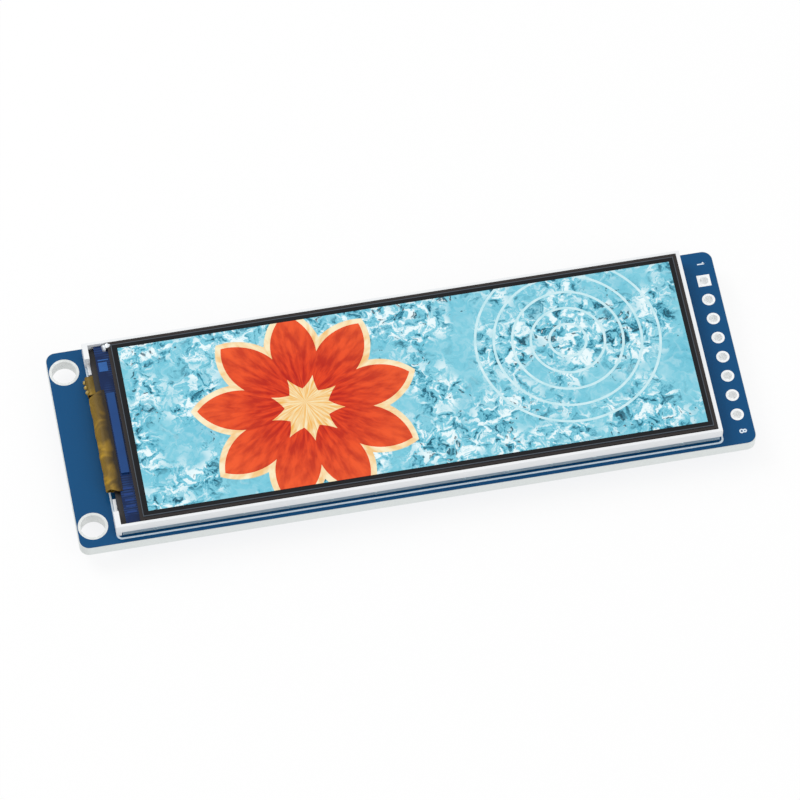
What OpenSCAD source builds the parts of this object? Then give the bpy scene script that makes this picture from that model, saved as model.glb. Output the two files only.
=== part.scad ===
// Bar-shaped colour display module: a printed board with a display unit stuck on its face,
// a flexible circuit that folds round the unit's open end, runs under it, drops through a
// slot and plugs into a flip-latch connector on the back, and a small supply and backlight
// circuit beside it.
// Millimetres. X runs along the board from the mounting holes to the header row,
// Y across it, Z towards the viewer of the screen. Origin: middle of the outline, at the
// height of the connector's top face, on which the module rests.

/* [Board] */
// From the display unit to the board's end by the header row
end_room = 4; // [3.9:0.1:8]
// From the display unit to the board's end by the mounting holes
fold_room = 4.2; // [4:0.1:8]
// From the display unit to the board's long edges
edge_room = 0.75; // [0.65:0.05:3]
// Thickness of the circuit board with its solder mask
board_t = 1.6; // [1.2:0.1:2]
// Corner radius of the board
corner_r = 1.1; // [0.5:0.1:1.5]

/* [Mounting holes] */
// Finished diameter of the two mounting holes
mount_d = 2.8; // [2.2:0.1:3]
// Width of the bare ring round each mounting hole
mount_ring = 0.3; // [0.2:0.05:0.35]
// From the board's long edges to the mounting holes' centres
mount_edge = 2.7; // [2.2:0.05:4]
// From the board's end to the mounting holes' centres
mount_inset = 1.83; // [1.8:0.01:2]

/* [Header row] */
// Spacing of the header holes
pin_pitch = 2.54; // [2.5:0.01:2.6]
// Finished diameter of a header hole
pin_hole_d = 1; // [0.8:0.05:1.1]
// Diameter of a header pad
pin_pad_d = 1.5; // [1.4:0.05:1.7]
// From the board's end to the header row
pin_inset = 1.55; // [1.3:0.05:1.8]

/* [Display unit] */
// Length of the lit picture area
view_l = 63.65; // [55:0.05:75]
// Width of the lit picture area
view_w = 21.16; // [18.5:0.02:26]
// From the picture to the unit's long sides
side_border = 1.37; // [1.2:0.01:1.8]
// From the picture to the unit's end by the header row
end_border = 1.47; // [1.3:0.01:2]
// From the picture to the unit's end by the flexible circuit
fold_border = 3.88; // [3.7:0.02:4.6]
// Thickness of each of the two glass sheets
glass_t = 0.5; // [0.4:0.01:0.6]
// Thickness of the light guide plate
guide_t = 0.6; // [0.5:0.01:0.8]
// Thickness of the foam tape between unit and board
tape_t = 0.3; // [0.28:0.02:0.8]
// Spacing of the spring dimples along the steel tray
dimple_pitch = 5; // [4:0.5:8]

/* [Flexible circuit] */
// Thickness of the flexible circuit
flex_t = 0.12; // [0.08:0.01:0.14]
// Width of its tail in the connector
tail_w = 5.5; // [5.3:0.05:5.6]
// Height of the tail's arch over the board's back
arch_h = 1.78; // [1.5:0.02:1.9]

/* [Connector] */
// Height of the connector over the board's back
conn_h = 2; // [2:0.05:2.3]
// Length of the connector housing across the board
conn_w = 9.1; // [9.1:0.05:9.3]
// Spacing of the connector's contacts
contact_pitch = 0.5; // [0.48:0.01:0.5]
// How far the latch stands open, in degrees
latch_open = 0; // [0:5:90]

/* [Small parts] */
// Height of the voltage regulator
regulator_h = 1.5; // [1.4:0.05:1.6]
// Height of a ceramic capacitor
cap_h = 0.8; // [0.6:0.05:0.9]
// Height of a chip resistor
res_h = 0.45; // [0.35:0.05:0.55]

/* [Hidden] */

mk = 0.04;               // solder mask
ink = 0.03;              // printed marking
zb = conn_h;             // back face of the board
zt = zb + board_t;       // front face of the board
unit_l = view_l + end_border + fold_border;
unit_w = view_w + 2 * side_border;
board_l = unit_l + end_room + fold_room;
board_w = unit_w + 2 * edge_room;
bx = board_l / 2;
by = board_w / 2;
plate_t = 0.05;          // plated wall in a hole

mx = -bx + mount_inset;  // mounting holes
mount_y = by - mount_edge;
mring_r = mount_d / 2 + mount_ring;
hx = bx - pin_inset;     // header row
pins = 8;
function pin_y(i) = ((pins - 1) / 2 - i) * pin_pitch;

// display unit, heights over the board's front face
ux0 = -bx + fold_room;
ux1 = bx - end_room;
uy = unit_w / 2;
end_wall = 0.43;         // by the header row
return_t = 0.6;          // at the corners by the flexible circuit
side_wall = 0.32;
film_inset = 0.38;       // from the glass to the front polariser
seat_gap = 0.03;         // between the shading tape and the frame
tray_t = 0.15;
film_t = 0.07;
z_tray = zt + tape_t;
z_refl = z_tray + tray_t;
z_guide = z_refl + film_t;
z_diff = z_guide + guide_t;
diff_t = 0.08;
prism_t = 0.1;
z_shelf = z_diff + diff_t + prism_t + 0.1;
rim_t = 0.08;
z_glass = z_shelf + rim_t;
z_lc = z_glass + glass_t;
z_face = z_lc + glass_t;
pol_t = 0.12;
z_top = z_face + pol_t;
img_t = 0.02;
frame_top = z_face - 0.05;
gx0 = ux0 + 1.25;        // end of the glass ledge
gx1 = ux1 - end_wall - 0.05;
gy = uy - side_wall - 0.08;
cfx0 = gx0 + 1.55;       // edge of the upper glass
view_x = ux1 - end_border - view_l / 2;
pocket_y = uy - 0.8;     // light guide pocket
window_y = view_w / 2 + 0.27;
window_x = view_x + view_l / 2 + 0.35;
tray_x0 = ux0 + 0.7;
tray_x1 = ux1 - 0.25;
tray_y = uy - 0.1;
led_x = tray_x0 + 0.05;
guide_x0 = tray_x0 + 1.35;

// flexible circuit, heights over the board's front face
run_z = 0.18;            // middle of the run under the unit
wrap_x = ux0 + 0.72;
bond_z = z_lc - zt + flex_t / 2;
wrap_r = (bond_z - run_z) / 2;
wide_y0 = -uy + 4.7;     // sides of the wide part at the fold
wide_y1 = uy - 6.1;
slot_x = 7.5;
slot_w = 0.9;
slot_l = 8.5;
drop_r = 0.35;
drop_x = slot_x - 0.03;

// connector, heights over the board's back face
cx0 = -8;                // rear of the housing
cx_block = cx0 + 2.38;   // front of the full-height block
cx_arm = cx0 + 4.5;      // end of the arms
flat_end = cx_arm + 1.35; // end of the stiffened, flat part of the tail
axle_x = cx0 + 2.95;
axle_z = 1.3;
floor_z = 0.54;
tail_z = 0.68;           // middle of the tail in the connector
arm_y = conn_w / 2 - 0.8;
contacts = 10;
function contact_y(i) = ((contacts - 1) / 2 - i) * contact_pitch;

// small parts: centre x and y, seen from the back; both rows keep to the header row
row_x = hx - 20.2;       // backlight driver's row
sup_x = hx - 11.05;      // supply's row
res_at = [for (y = [5.45, 4, 2.5, -2.2]) [row_x, y]];
cap_at = [for (y = [5.15, 3.4, -3.1, -4.95]) [sup_x, y], [row_x, -3.7]];
chip_l = 1.6;
chip_w = 0.8;
cap_end = 0.32;
reg_at = [sup_x + 0.15, 0];
trs_at = [row_x + 0.4, 0];
dio_at = [row_x + 0.05, -5.35];

board_blue = [0.13, 0.33, 0.52];
back_blue = [0.11, 0.35, 0.55];
silver = [0.80, 0.81, 0.82];
amber = [0.68, 0.49, 0.19];

// ---- shapes ----------------------------------------------------------------

module box(x0, x1, y0, y1, z0, z1) {
    translate([x0, y0, z0]) cube([x1 - x0, y1 - y0, z1 - z0]);
}

module rounded(l, w, r) {
    square([l - 2 * r, w], center = true);
    square([l, w - 2 * r], center = true);
    for (sx = [-1, 1], sy = [-1, 1])
        translate([sx * (l / 2 - r), sy * (w / 2 - r)]) circle(r, $fn = 40);
}

module plate(l, w, r, z0, z1) {
    translate([0, 0, z0]) linear_extrude(z1 - z0) rounded(l, w, r);
}

module rod(x, y, z0, z1, r) {
    translate([x, y, z0]) cylinder(h = z1 - z0, r = r, $fn = 40);
}

// everything on the back is drawn as seen from the back, height away from the board
module back() { translate([0, 0, zb]) rotate([180, 0, 0]) children(); }

function unit(v) = v / norm(v);
function left(v) = [-v[1], v[0]];
function side_point(p, i, h) =
    let (n = len(p),
        a = i > 0 ? unit(p[i] - p[i - 1]) : unit(p[1] - p[0]),
        b = i < n - 1 ? unit(p[i + 1] - p[i]) : a,
        m = unit(left(a) + left(b)))
    p[i] + m * (h / (m * left(a)));
// outline of a strip of width w along the points p
function strip(p, w) = concat(
    [for (i = [0:len(p) - 1]) side_point(p, i, w / 2)],
    [for (i = [len(p) - 1:-1:0]) side_point(p, i, -w / 2)]);
function bez(a, b, c, d, n) = [for (i = [1:n]) let (t = i / n, s = 1 - t)
    a * s * s * s + b * 3 * s * s * t + c * 3 * s * t * t + d * t * t * t];
function arc(cx, cz, r, a0, a1, n) = [for (i = [0:n]) let (a = a0 + (a1 - a0) * i / n)
    [cx + r * cos(a), cz + r * sin(a)]];

// a ribbon whose middle line p is drawn in X and Z, between y0 and y1
module ribbon(p, t, y0, y1) {
    translate([0, y1, 0]) rotate([90, 0, 0]) linear_extrude(y1 - y0) polygon(strip(p, t));
}

// ---- board -----------------------------------------------------------------

module slot_2d(g = 0) {
    square([slot_w + 2 * g, slot_l - slot_w], center = true);
    for (s = [-1, 1]) translate([0, s * (slot_l - slot_w) / 2])
        circle(slot_w / 2 + g, $fn = 40);
}

module circuit_board() {
    color([0.80, 0.84, 0.83]) difference() {
        plate(board_l, board_w, corner_r, zb + mk, zt - mk);
        for (s = [-1, 1]) rod(mx, s * mount_y, zb - 1, zt + 1, mount_d / 2 + plate_t);
        for (i = [0:pins - 1]) rod(hx, pin_y(i), zb - 1, zt + 1, pin_hole_d / 2 + plate_t);
        translate([slot_x, 0, zb - 1]) linear_extrude(board_t + 2) slot_2d();
    }
}

module pad_openings(z0, z1) {
    for (s = [-1, 1]) rod(mx, s * mount_y, z0, z1, mring_r);
    for (i = [1:pins - 1]) rod(hx, pin_y(i), z0, z1, pin_pad_d / 2);
    box(hx - pin_pad_d / 2, hx + pin_pad_d / 2, pin_y(0) - pin_pad_d / 2,
        pin_y(0) + pin_pad_d / 2, z0, z1);
    translate([slot_x, 0, z0]) linear_extrude(z1 - z0) slot_2d(0.12);
}

module front_solder_mask() {
    color(board_blue) difference() {
        plate(board_l - 0.1, board_w - 0.1, corner_r, zt - mk, zt);
        pad_openings(zt - mk - 1, zt + 1);
    }
}

module back_solder_mask() {
    color(back_blue) difference() {
        plate(board_l - 0.1, board_w - 0.1, corner_r, zb, zb + mk);
        pad_openings(zb - 1, zb + mk + 1);
        back() for (p = all_pads()) pad_box(p, -1, 1);
    }
}

module plated_hole(x, y, r, pad_r, square_pad = false) {
    difference() {
        union() {
            rod(x, y, zb + mk, zt - mk, r + plate_t);
            for (z = [zb, zt - mk])
                if (square_pad) box(x - pad_r, x + pad_r, y - pad_r, y + pad_r, z, z + mk);
                else rod(x, y, z, z + mk, pad_r);
        }
        rod(x, y, zb - 1, zt + 1, r);
    }
}

module mount_hole_rings() {
    color(silver) for (s = [-1, 1])
        plated_hole(mx, s * mount_y, mount_d / 2, mring_r);
}

module header_pads() {
    color(silver) for (i = [0:pins - 1])
        plated_hole(hx, pin_y(i), pin_hole_d / 2, pin_pad_d / 2, i == 0);
}

module outline(l, w, r, line) {
    difference() {
        rounded(l, w, r);
        rounded(l - 2 * line, w - 2 * line, r - line / 2);
    }
}

module front_marking() {
    color([0.93, 0.96, 0.98]) translate([(ux0 + ux1) / 2 + 0.15, 0, zt]) linear_extrude(ink)
        outline(unit_l + 0.2, unit_w + 0.56, 0.6, 0.2);
}

// rounded frame round a small part, open in the middle of its long sides
module part_frame(w) {
    difference() {
        outline(2.95, w, 0.35, 0.17);
        square([0.4, w + 1], center = true);
    }
}

module back_marking_2d() {
    for (p = res_at) translate(p) part_frame(1.42);
    for (p = cap_at) translate(p) part_frame(1.5);
    // header row and its first-pin cell
    translate([hx, 0]) difference() {
        square([2.6, pins * pin_pitch + 0.1], center = true);
        square([2.25, pins * pin_pitch - 0.25], center = true);
    }
    translate([hx - 1.2, -(pins / 2 - 1) * pin_pitch - 0.09]) square([2.4, 0.18]);
    // corners of the connector's place
    for (s = [-1, 1]) {
        translate([cx0 - 0.25, s > 0 ? 2.75 : -conn_w / 2 - 0.25])
            square([0.17, conn_w / 2 - 2.5]);
        translate([cx0 - 0.25, s * (conn_w / 2 + 0.17) - 0.08]) square([0.95, 0.17]);
        translate([cx0 + 2.75, s * (conn_w / 2 + 0.17) - 0.08]) square([1.6, 0.17]);
    }
    translate([cx0 - 0.9, 3.65]) circle(0.27, $fn = 32);
    translate([cx0 - 2.5, 2.35]) polygon([[0, -0.4], [0, 0.4], [0.7, 0]]);
    // transistor, diode and regulator
    translate([trs_at[0] + 0.85, trs_at[1] - 1.5]) square([0.16, 0.85]);
    translate([trs_at[0] + 0.85, trs_at[1] + 0.6]) square([0.16, 0.85]);
    translate([dio_at[0] - 1.02, dio_at[1] - 0.85]) square([2.04, 0.17]);
    for (s = [-1, 1]) translate([dio_at[0] + s * 0.94 - 0.08, dio_at[1] - 0.85])
        square([0.16, 0.42]);
    for (s = [-1, 1]) translate([reg_at[0] + 1.3, reg_at[1] + (s > 0 ? 1.25 : -2.45)])
        square([0.16, 1.2]);
}

module back_marking() {
    color([0.90, 0.95, 0.98]) back() linear_extrude(ink) back_marking_2d();
}

track_w = 0.32;
hy = pin_pitch / 2;
// a point measured from the connector's rear, and one from the driver's row
function c(x, y) = [cx0 + x, y];
function r(x, y) = [row_x + x, y];
tracks = [
    [c(-1.7, -1.95), c(-2.95, -1.95), c(-3.75, -1.15), c(-3.75, 4), c(-0.2, 7.55), r(-5.95, 7.55)],
    [c(-1.7, 0.3), c(-2.3, 0.5), c(-3.2, 1.5), c(-3.2, 3.75), c(-0.15, 6.75), r(-2.45, 6.7), r(-1.25, 5.5)],
    [c(4.8, -4.2), c(10.4, -9.75), r(-0.65, -9.75)],
    [c(4.8, -2.6), c(10.85, -8.6), c(12.3, -8.5)],
    [c(7.4, -2.3), c(14.15, -9.15), r(13.05, -9.15), r(16.75, -5.45), [hx - 1.1, -5 * hy + 0.4]],
    [c(8.1, -2.2), c(14.4, -8.6), r(12.3, -8.6), r(16.85, -4.05), [hx - 1.1, -3 * hy]],
    [r(-0.7, -6.3), r(-0.7, -7.1), r(0.25, -8.05), r(10.85, -8.05), r(17.25, -1.7), [hx - 1.1, -hy]],
    [r(0.4, 8.2), r(2.05, 9.87), r(15.95, 9.87), r(16.85, 8.95), [hx - 1.1, 7 * hy]],
    [r(1.45, 2.6), r(8.65, 9.6)],
    [r(1.55, -2.33), r(6.75, -2.33), r(7.15, -1.9)],
    [r(1.55, -2.75), r(2.45, -3.1), r(2.95, -3.9), r(2.75, -4.7), r(1.75, -5.4)],
    [r(11.75, -0.35), r(12.75, -1.1)],
    [r(2.05, 0), r(2.85, 0.05)]
];
vias = [r(-5.95, 7.55), r(-0.65, -9.75), c(12.3, -8.5), r(12.75, -1.1), r(2.85, 0.05), r(0.4, 8.2)];

module back_tracks() {
    color([0.09, 0.29, 0.47]) back() linear_extrude(ink - 0.01) difference() {
        union() {
            for (t = tracks) polygon(strip(t, track_w));
            for (v = vias) translate(v) circle(0.34, $fn = 28);
        }
        back_marking_2d();
        for (p = all_pads()) translate([p[0], p[1]]) square([p[2] + 0.1, p[3] + 0.1], center = true);
        translate([reg_at[0] + 1.7, reg_at[1]]) circle(1, $fn = 40);
    }
}

// ---- display unit ----------------------------------------------------------

tape_w = 2.55;           // from the unit's side to the tape's inner edge
module foam_tape() {
    color([0.12, 0.13, 0.15]) difference() {
        box(ux0 + 1.6, ux1 - 1, -uy + 0.65, uy - 0.65, zt, z_tray);
        box(ux0 - 1, slot_x + slot_w + 0.5, -uy + tape_w, uy - tape_w, zt - 1, z_tray + 1);
    }
}

module steel_tray() {
    color([0.62, 0.66, 0.68]) {
        difference() {
            box(tray_x0, tray_x1, -tray_y, tray_y, z_tray, z_diff);
            box(tray_x0 - 1, tray_x1 - tray_t, -tray_y + tray_t, tray_y - tray_t,
                z_refl, z_diff + 1);
        }
        // spring dimples that hold the frame
        n = floor((unit_l - 6) / 2 / dimple_pitch);
        for (s = [-1, 1], i = [-n:n])
            translate([i * dimple_pitch, s * (tray_y - 0.05), z_tray + 0.36])
                rotate([-90 * s, 0, 0]) cylinder(h = 0.14, r = 0.22, $fn = 24);
    }
}

module light_frame() {
    color([0.95, 0.96, 0.97]) difference() {
        union() {
            difference() {
                // upper wall, over the tray
                box(ux0, ux1, -uy, uy, z_diff, frame_top);
                // end by the flexible circuit is open between its returns
                box(ux0 - 1, ux0 + return_t, -uy + 2.05, uy - 2.05, zt, frame_top + 1);
            }
            // skirt inside the tray
            box(tray_x0, tray_x1 - tray_t - 0.02, -tray_y + tray_t + 0.02,
                tray_y - tray_t - 0.02, z_refl, z_diff);
            // corner returns and the low walls beside the fold
            for (s = [-1, 1]) {
                box(ux0, ux0 + return_t, s > 0 ? uy - 2.05 : -uy, s > 0 ? uy : -uy + 2.05,
                    z_refl, frame_top);
                box(ux0 + 0.25, ux0 + 0.65, s > 0 ? tail_y1 + 0.15 : -uy + 2,
                    s > 0 ? uy - 2 : wide_y0 - 0.4, z_refl, z_diff);
            }
        }
        // seat of the glass
        box(ux0 + return_t, ux1 - end_wall, -uy + side_wall, uy - side_wall,
            z_shelf, frame_top + 1);
        // window for the light
        box(ux0 + return_t, window_x, -window_y, window_y, z_refl - 1, frame_top + 1);
        // pocket of the light guide
        box(ux0 + 0.65, ux1 - 0.8, -pocket_y, pocket_y, z_refl - 1, z_diff);
    }
}

module reflector_sheet() {
    color([0.90, 0.91, 0.92])
        box(guide_x0 - 1.2, ux1 - 0.95, -pocket_y + 0.05, pocket_y - 0.05, z_refl, z_guide);
}

module light_guide() {
    color([0.86, 0.92, 0.94])
        box(guide_x0, ux1 - 0.95, -pocket_y + 0.05, pocket_y - 0.05, z_guide, z_diff);
}

module diffuser_sheet() {
    color([0.97, 0.97, 0.97])
        box(guide_x0, window_x - 0.05, -window_y + 0.05, window_y - 0.05, z_diff, z_diff + diff_t);
}

module prism_sheet() {
    color([0.88, 0.90, 0.92]) box(guide_x0, window_x - 0.05, -window_y + 0.05, window_y - 0.05,
        z_diff + diff_t, z_diff + diff_t + prism_t);
}

leds = 5;
led_w = 3;
strip_y = uy - 1.95;     // end of the strip over the lamps
led_pitch = (2 * strip_y - led_w - 0.2) / (leds - 1);
led_top = z_guide + guide_t - 0.04;
module backlight_leds() {
    color([0.96, 0.94, 0.80]) for (i = [0:leds - 1])
        box(led_x + 0.2, guide_x0 - 0.1, (i - 2) * led_pitch - led_w / 2,
            (i - 2) * led_pitch + led_w / 2,
            z_guide, led_top);
}

tail_y0 = wide_y1 + 0.1;
tail_y1 = tail_y0 + 2.45;
lf_z = led_top + flex_t / 2 - zt;   // strip over the lamps
lf_end = 0.12 + flex_t / 2;         // its tail lies on the board
lf_r = (lf_z - lf_end) / 2;
lf_x = ux0 - 0.3 + lf_r + flex_t / 2;
module backlight_flex() {
    color([0.72, 0.55, 0.22]) union() {
        box(led_x + 0.1, guide_x0 - 0.15, -strip_y, strip_y, led_top, led_top + flex_t);
        translate([0, 0, zt]) ribbon(concat([[led_x + 0.3, lf_z]],
            arc(lf_x, lf_z - lf_r, lf_r, 90, 270, 14), [[ux0 + 3.1, lf_end]]),
            flex_t, tail_y0, tail_y1);
    }
}

module backlight_solder() {
    color([0.82, 0.68, 0.36]) for (i = [0:2]) let (a = [150, 168, 186][i])
        translate([lf_x + (lf_r + flex_t / 2) * cos(a), tail_y0 + 0.45 + i * 0.75,
            zt + lf_z - lf_r + (lf_r + flex_t / 2) * sin(a)])
            rotate([0, -(a), 0]) rotate([0, 90, 0]) difference() {
                sphere(r = 0.27, $fn = 28);
                translate([0, 0, -0.99]) cube(2, center = true);
            }
}

module rim_tape() {
    color([0.13, 0.12, 0.12]) difference() {
        box(ux0 + return_t + seat_gap, ux1 - end_wall - seat_gap, -uy + side_wall + seat_gap,
            uy - side_wall - seat_gap, z_shelf, z_glass);
        box(view_x - view_l / 2 - 0.3, view_x + view_l / 2 + 0.3, -view_w / 2 - 0.15,
            view_w / 2 + 0.15, z_shelf - 1, z_glass + 1);
    }
}

module rear_polariser() {
    color([0.20, 0.22, 0.24])
        box(view_x - view_l / 2 - 0.25, view_x + view_l / 2 + 0.25, -view_w / 2 - 0.1,
            view_w / 2 + 0.1, z_glass - 0.1, z_glass);
}

module tft_glass() {
    color([0.10, 0.17, 0.36]) box(gx0, gx1, -gy, gy, z_glass, z_lc);
}

module filter_glass() {
    color([0.16, 0.17, 0.20]) box(cfx0, gx1, -gy, gy, z_lc, z_face);
}

module front_polariser() {
    color([0.06, 0.07, 0.10]) box(cfx0 + film_inset, gx1 - film_inset, -gy + film_inset,
        gy - film_inset, z_face, z_top);
}

// The lit picture, as fields of colour: a flower afloat on rippled water.
vx0 = view_x - view_l / 2;
bloom = [vx0 + view_l * 0.31, -view_w * 0.04];
bloom_r = view_w * 0.62;
petals = 9;

module view_2d() {
    translate([view_x, 0]) square([view_l, view_w], center = true);
}

// one petal along +X: a lens between two arcs, narrowed by g all round
module petal_2d(g) {
    len = bloom_r * 0.86;
    half = bloom_r * 0.25 - g;
    run = len / 2 - g;
    rad = (run * run + half * half) / (2 * half);
    translate([bloom_r - len / 2, 0]) intersection() {
        translate([0, rad - half]) circle(rad, $fn = 90);
        translate([0, half - rad]) circle(rad, $fn = 90);
    }
}

module flower_2d(g) {
    translate(bloom) for (i = [0:petals - 1]) rotate(i * 360 / petals + 12) petal_2d(g);
}

module rims_2d() {
    flower_2d(0);
    translate(bloom) circle(bloom_r * 0.24, $fn = 48);
}

module red_2d() {
    difference() {
        flower_2d(bloom_r * 0.055);
        translate(bloom) circle(bloom_r * 0.17, $fn = 48);
    }
}

ripple_pitch = 2.1;
ripple_line = 0.3;
module ripple_2d() {
    for (k = [1:5]) translate([vx0 + view_l * 0.79, view_w * 0.12]) difference() {
        circle(k * ripple_pitch + ripple_line / 2, $fn = 60);
        circle(k * ripple_pitch - ripple_line / 2, $fn = 60);
    }
}

module image_water() {
    color([0.56, 0.80, 0.86]) translate([0, 0, z_top]) linear_extrude(img_t) difference() {
        view_2d();
        rims_2d();
        ripple_2d();
    }
}

module image_ripples() {
    color([0.25, 0.55, 0.62]) translate([0, 0, z_top]) linear_extrude(img_t) difference() {
        intersection() {
            ripple_2d();
            view_2d();
        }
        rims_2d();
    }
}

module image_petals() {
    color([0.86, 0.20, 0.07]) translate([0, 0, z_top]) linear_extrude(img_t)
        intersection() {
            red_2d();
            view_2d();
        }
}

module image_rims() {
    color([0.95, 0.86, 0.66]) translate([0, 0, z_top]) linear_extrude(img_t)
        intersection() {
            difference() {
                rims_2d();
                red_2d();
            }
            view_2d();
        }
}

metal_t = 0.02;
module glass_circuit() {
    color([0.19, 0.37, 0.62]) {
        box(gx0 + 0.2, gx0 + 1.2, gy - 3.32, gy - 2.12, z_lc, z_lc + metal_t);
        box(gx0 + 0.2, gx0 + 1.4, gy - 1.92, gy - 1.77, z_lc, z_lc + metal_t);
        for (i = [0:4]) box(gx0 + 0.3, gx0 + 1.4, -gy + 1.42 + i * 0.75,
            -gy + 1.67 + i * 0.75, z_lc, z_lc + metal_t);
    }
}

module driver_chip() {
    color([0.17, 0.28, 0.55])
        box(gx0 + 0.45, gx0 + 1.38, -5.15, 5.25, z_lc, z_lc + 0.3);
}

module silver_paste() {
    color([0.88, 0.91, 0.94]) {
        rod(cfx0 - 0.3, gy - 0.4, z_lc, z_face + 0.07, 0.29);
        box(cfx0 - 0.3, cfx0 + 0.15, gy - 0.55, gy - 0.2, z_face, z_face + 0.07);
        rod(cfx0 + 0.12, gy - 0.33, z_face, z_face + 0.1, 0.22);
    }
}

// ---- flexible circuit ------------------------------------------------------

wide_l = 10.6;           // wide part under the unit
neck_l = 4;              // its taper to the tail
wide_end = ux0 + wide_l;
neck_x = wide_end + neck_l;
wide_run = concat([[gx0 + 0.3, bond_z]], arc(wrap_x, bond_z - wrap_r, wrap_r, 90, 270, 20),
    [[wide_end, run_z]]);
// tail seen from the front: under the unit, down the slot, back under the board
bz = -board_t;
tail_path = concat([[neck_x - 0.01, run_z]],
    arc(drop_x - drop_r, run_z - drop_r, drop_r, 90, 0, 8),
    [[drop_x, bz - 0.2]],
    bez([drop_x, bz - 0.2], [drop_x, bz - arch_h * 0.86], [slot_x - 1.9, bz - arch_h],
        [slot_x - 3.9, bz - arch_h], 14),
    bez([slot_x - 3.9, bz - arch_h], [slot_x - 6.4, bz - arch_h],
        [flat_end + 2, bz - tail_z], [flat_end, bz - tail_z], 14),
    [[cx0 + 0.75, bz - tail_z]]);

module main_flex() {
    color(amber) translate([0, 0, zt]) union() {
        ribbon(wide_run, flex_t, wide_y0, wide_y1);
        translate([0, 0, run_z - flex_t / 2]) linear_extrude(flex_t)
            polygon([[wide_end - 0.01, wide_y0], [wide_end - 0.01, wide_y1],
                [neck_x, tail_w / 2], [neck_x, -tail_w / 2]]);
        ribbon(tail_path, flex_t, -tail_w / 2, tail_w / 2);
    }
}

stiff_t = 0.18;
module flex_stiffener() {
    color([0.32, 0.24, 0.16]) back() box(cx0 + 0.75, flat_end - 0.05, -tail_w / 2,
        tail_w / 2, tail_z + flex_t / 2, tail_z + flex_t / 2 + stiff_t);
}

// ---- connector, drawn as seen from the back --------------------------------

module connector_housing() {
    color([0.95, 0.95, 0.94]) back() difference() {
        union() {
            box(cx0, cx_block, -conn_w / 2, conn_w / 2, 0.08, conn_h);
            box(cx0, cx_arm, -conn_w / 2, conn_w / 2, 0.08, floor_z);
            for (s = [-1, 1]) box(cx0, cx_arm, s > 0 ? arm_y : -conn_w / 2,
                s > 0 ? conn_w / 2 : -arm_y, 0.08, conn_h);
        }
        // mouth for the flexible circuit
        box(cx0 + 0.55, cx_arm + 1, -tail_w / 2 - 0.08, tail_w / 2 + 0.08, floor_z, 1);
        // one slot a contact
        for (i = [0:contacts - 1])
            box(cx0 - 1, cx_arm - 0.45, contact_y(i) - 0.12, contact_y(i) + 0.12, -1, 1.72);
        // seats of the latch's axle
        for (s = [-1, 1]) translate([axle_x, s * arm_y + (s > 0 ? -0.3 : 0.3), axle_z])
            rotate([-90 * s, 0, 0]) cylinder(h = 0.68, r = 0.2, $fn = 32);
        // sloped rear edge
        translate([cx0, conn_w / 2 + 1, conn_h]) rotate([90, 0, 0])
            linear_extrude(conn_w + 2) polygon([[-1, 1], [-1, -0.35], [0, -0.35], [0.3, 0], [0.3, 1]]);
        // pockets of the solder nails
        for (s = [-1, 1]) box(cx0 + 1.1, cx0 + 2.4, s > 0 ? conn_w / 2 - 0.16 : -conn_w / 2 - 1,
            s > 0 ? conn_w / 2 + 1 : -conn_w / 2 + 0.16, -1, 0.9);
    }
}

module latch_body() {
    lug = cx0 + 4.8;      // lip in front of the arms
    lip = cx0 + 5.05;
    difference() {
        union() {
            translate([axle_x, arm_y - 0.07, axle_z]) rotate([90, 0, 0])
                cylinder(h = 2 * arm_y - 0.14, r = 0.33, $fn = 40);
            box(axle_x, lip, -arm_y + 0.07, arm_y - 0.07, axle_z - 0.3, axle_z + 0.5);
            box(lug, lip, -conn_w / 2, conn_w / 2, axle_z - 0.3, axle_z + 0.5);
        }
        // comb over the contacts
        for (i = [0:contacts - 1])
            box(axle_x - 1, axle_x + 0.72, contact_y(i) - 0.15, contact_y(i) + 0.15, 0, 3);
        // bevelled lip, to be lifted with a fingernail
        translate([lip, conn_w / 2 + 1, axle_z + 0.5]) rotate([90, 0, 0])
            linear_extrude(conn_w + 2) polygon([[-0.45, 0], [-0.45, 1], [1, 1], [1, -0.3], [0, -0.3]]);
    }
    translate([axle_x, arm_y + 0.3, axle_z]) rotate([90, 0, 0])
        cylinder(h = 2 * arm_y + 0.6, r = 0.15, $fn = 32);
}

module connector_latch() {
    color([0.27, 0.29, 0.32]) back()
        translate([axle_x, 0, axle_z]) rotate([0, -latch_open, 0])
            translate([-axle_x, 0, -axle_z]) latch_body();
}

// each contact is one stamped piece: foot, riser, sprung lower arm and hooked upper arm
module contact_2d() {
    polygon([[cx0 - 1.6, 0], [cx0 + 0.1, 0], [cx0 + 0.1, 0.12], [cx0 + 4, 0.12],
        [cx0 + 4, 0.3], [cx0 + 3.75, tail_z - flex_t / 2], [cx0 + 3.45, tail_z - flex_t / 2],
        [cx0 + 3.1, 0.42], [cx0 + 0.5, 0.36], [cx0 + 0.5, 1.3], [axle_x - 0.45, 1.5],
        [axle_x - 0.2, 1.47], [axle_x + 0.3, 1.47], [axle_x + 0.3, 1.66], [cx0 + 0.4, 1.66],
        [cx0 + 0.12, 1.4], [cx0 + 0.12, 0.24], [cx0 - 0.2, 0.16], [cx0 - 1.6, 0.16]]);
}

module connector_contacts() {
    color(silver) back() for (i = [0:contacts - 1])
        translate([0, contact_y(i) + 0.1, 0]) rotate([90, 0, 0]) linear_extrude(0.2)
            contact_2d();
}

module connector_nails() {
    color(silver) back() for (s = [-1, 1]) mirror([0, s > 0 ? 0 : 1, 0]) {
        box(cx0 + 1.15, cx0 + 2.35, conn_w / 2 - 0.14, conn_w / 2, 0, 0.85);
        box(cx0 + 0.85, cx0 + 2.65, conn_w / 2 - 0.14, conn_w / 2 + 0.4, 0, 0.08);
        box(cx0 + 1.15, cx0 + 2.35, conn_w / 2, conn_w / 2 + 0.35, 0.08, 0.16);
    }
}

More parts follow.
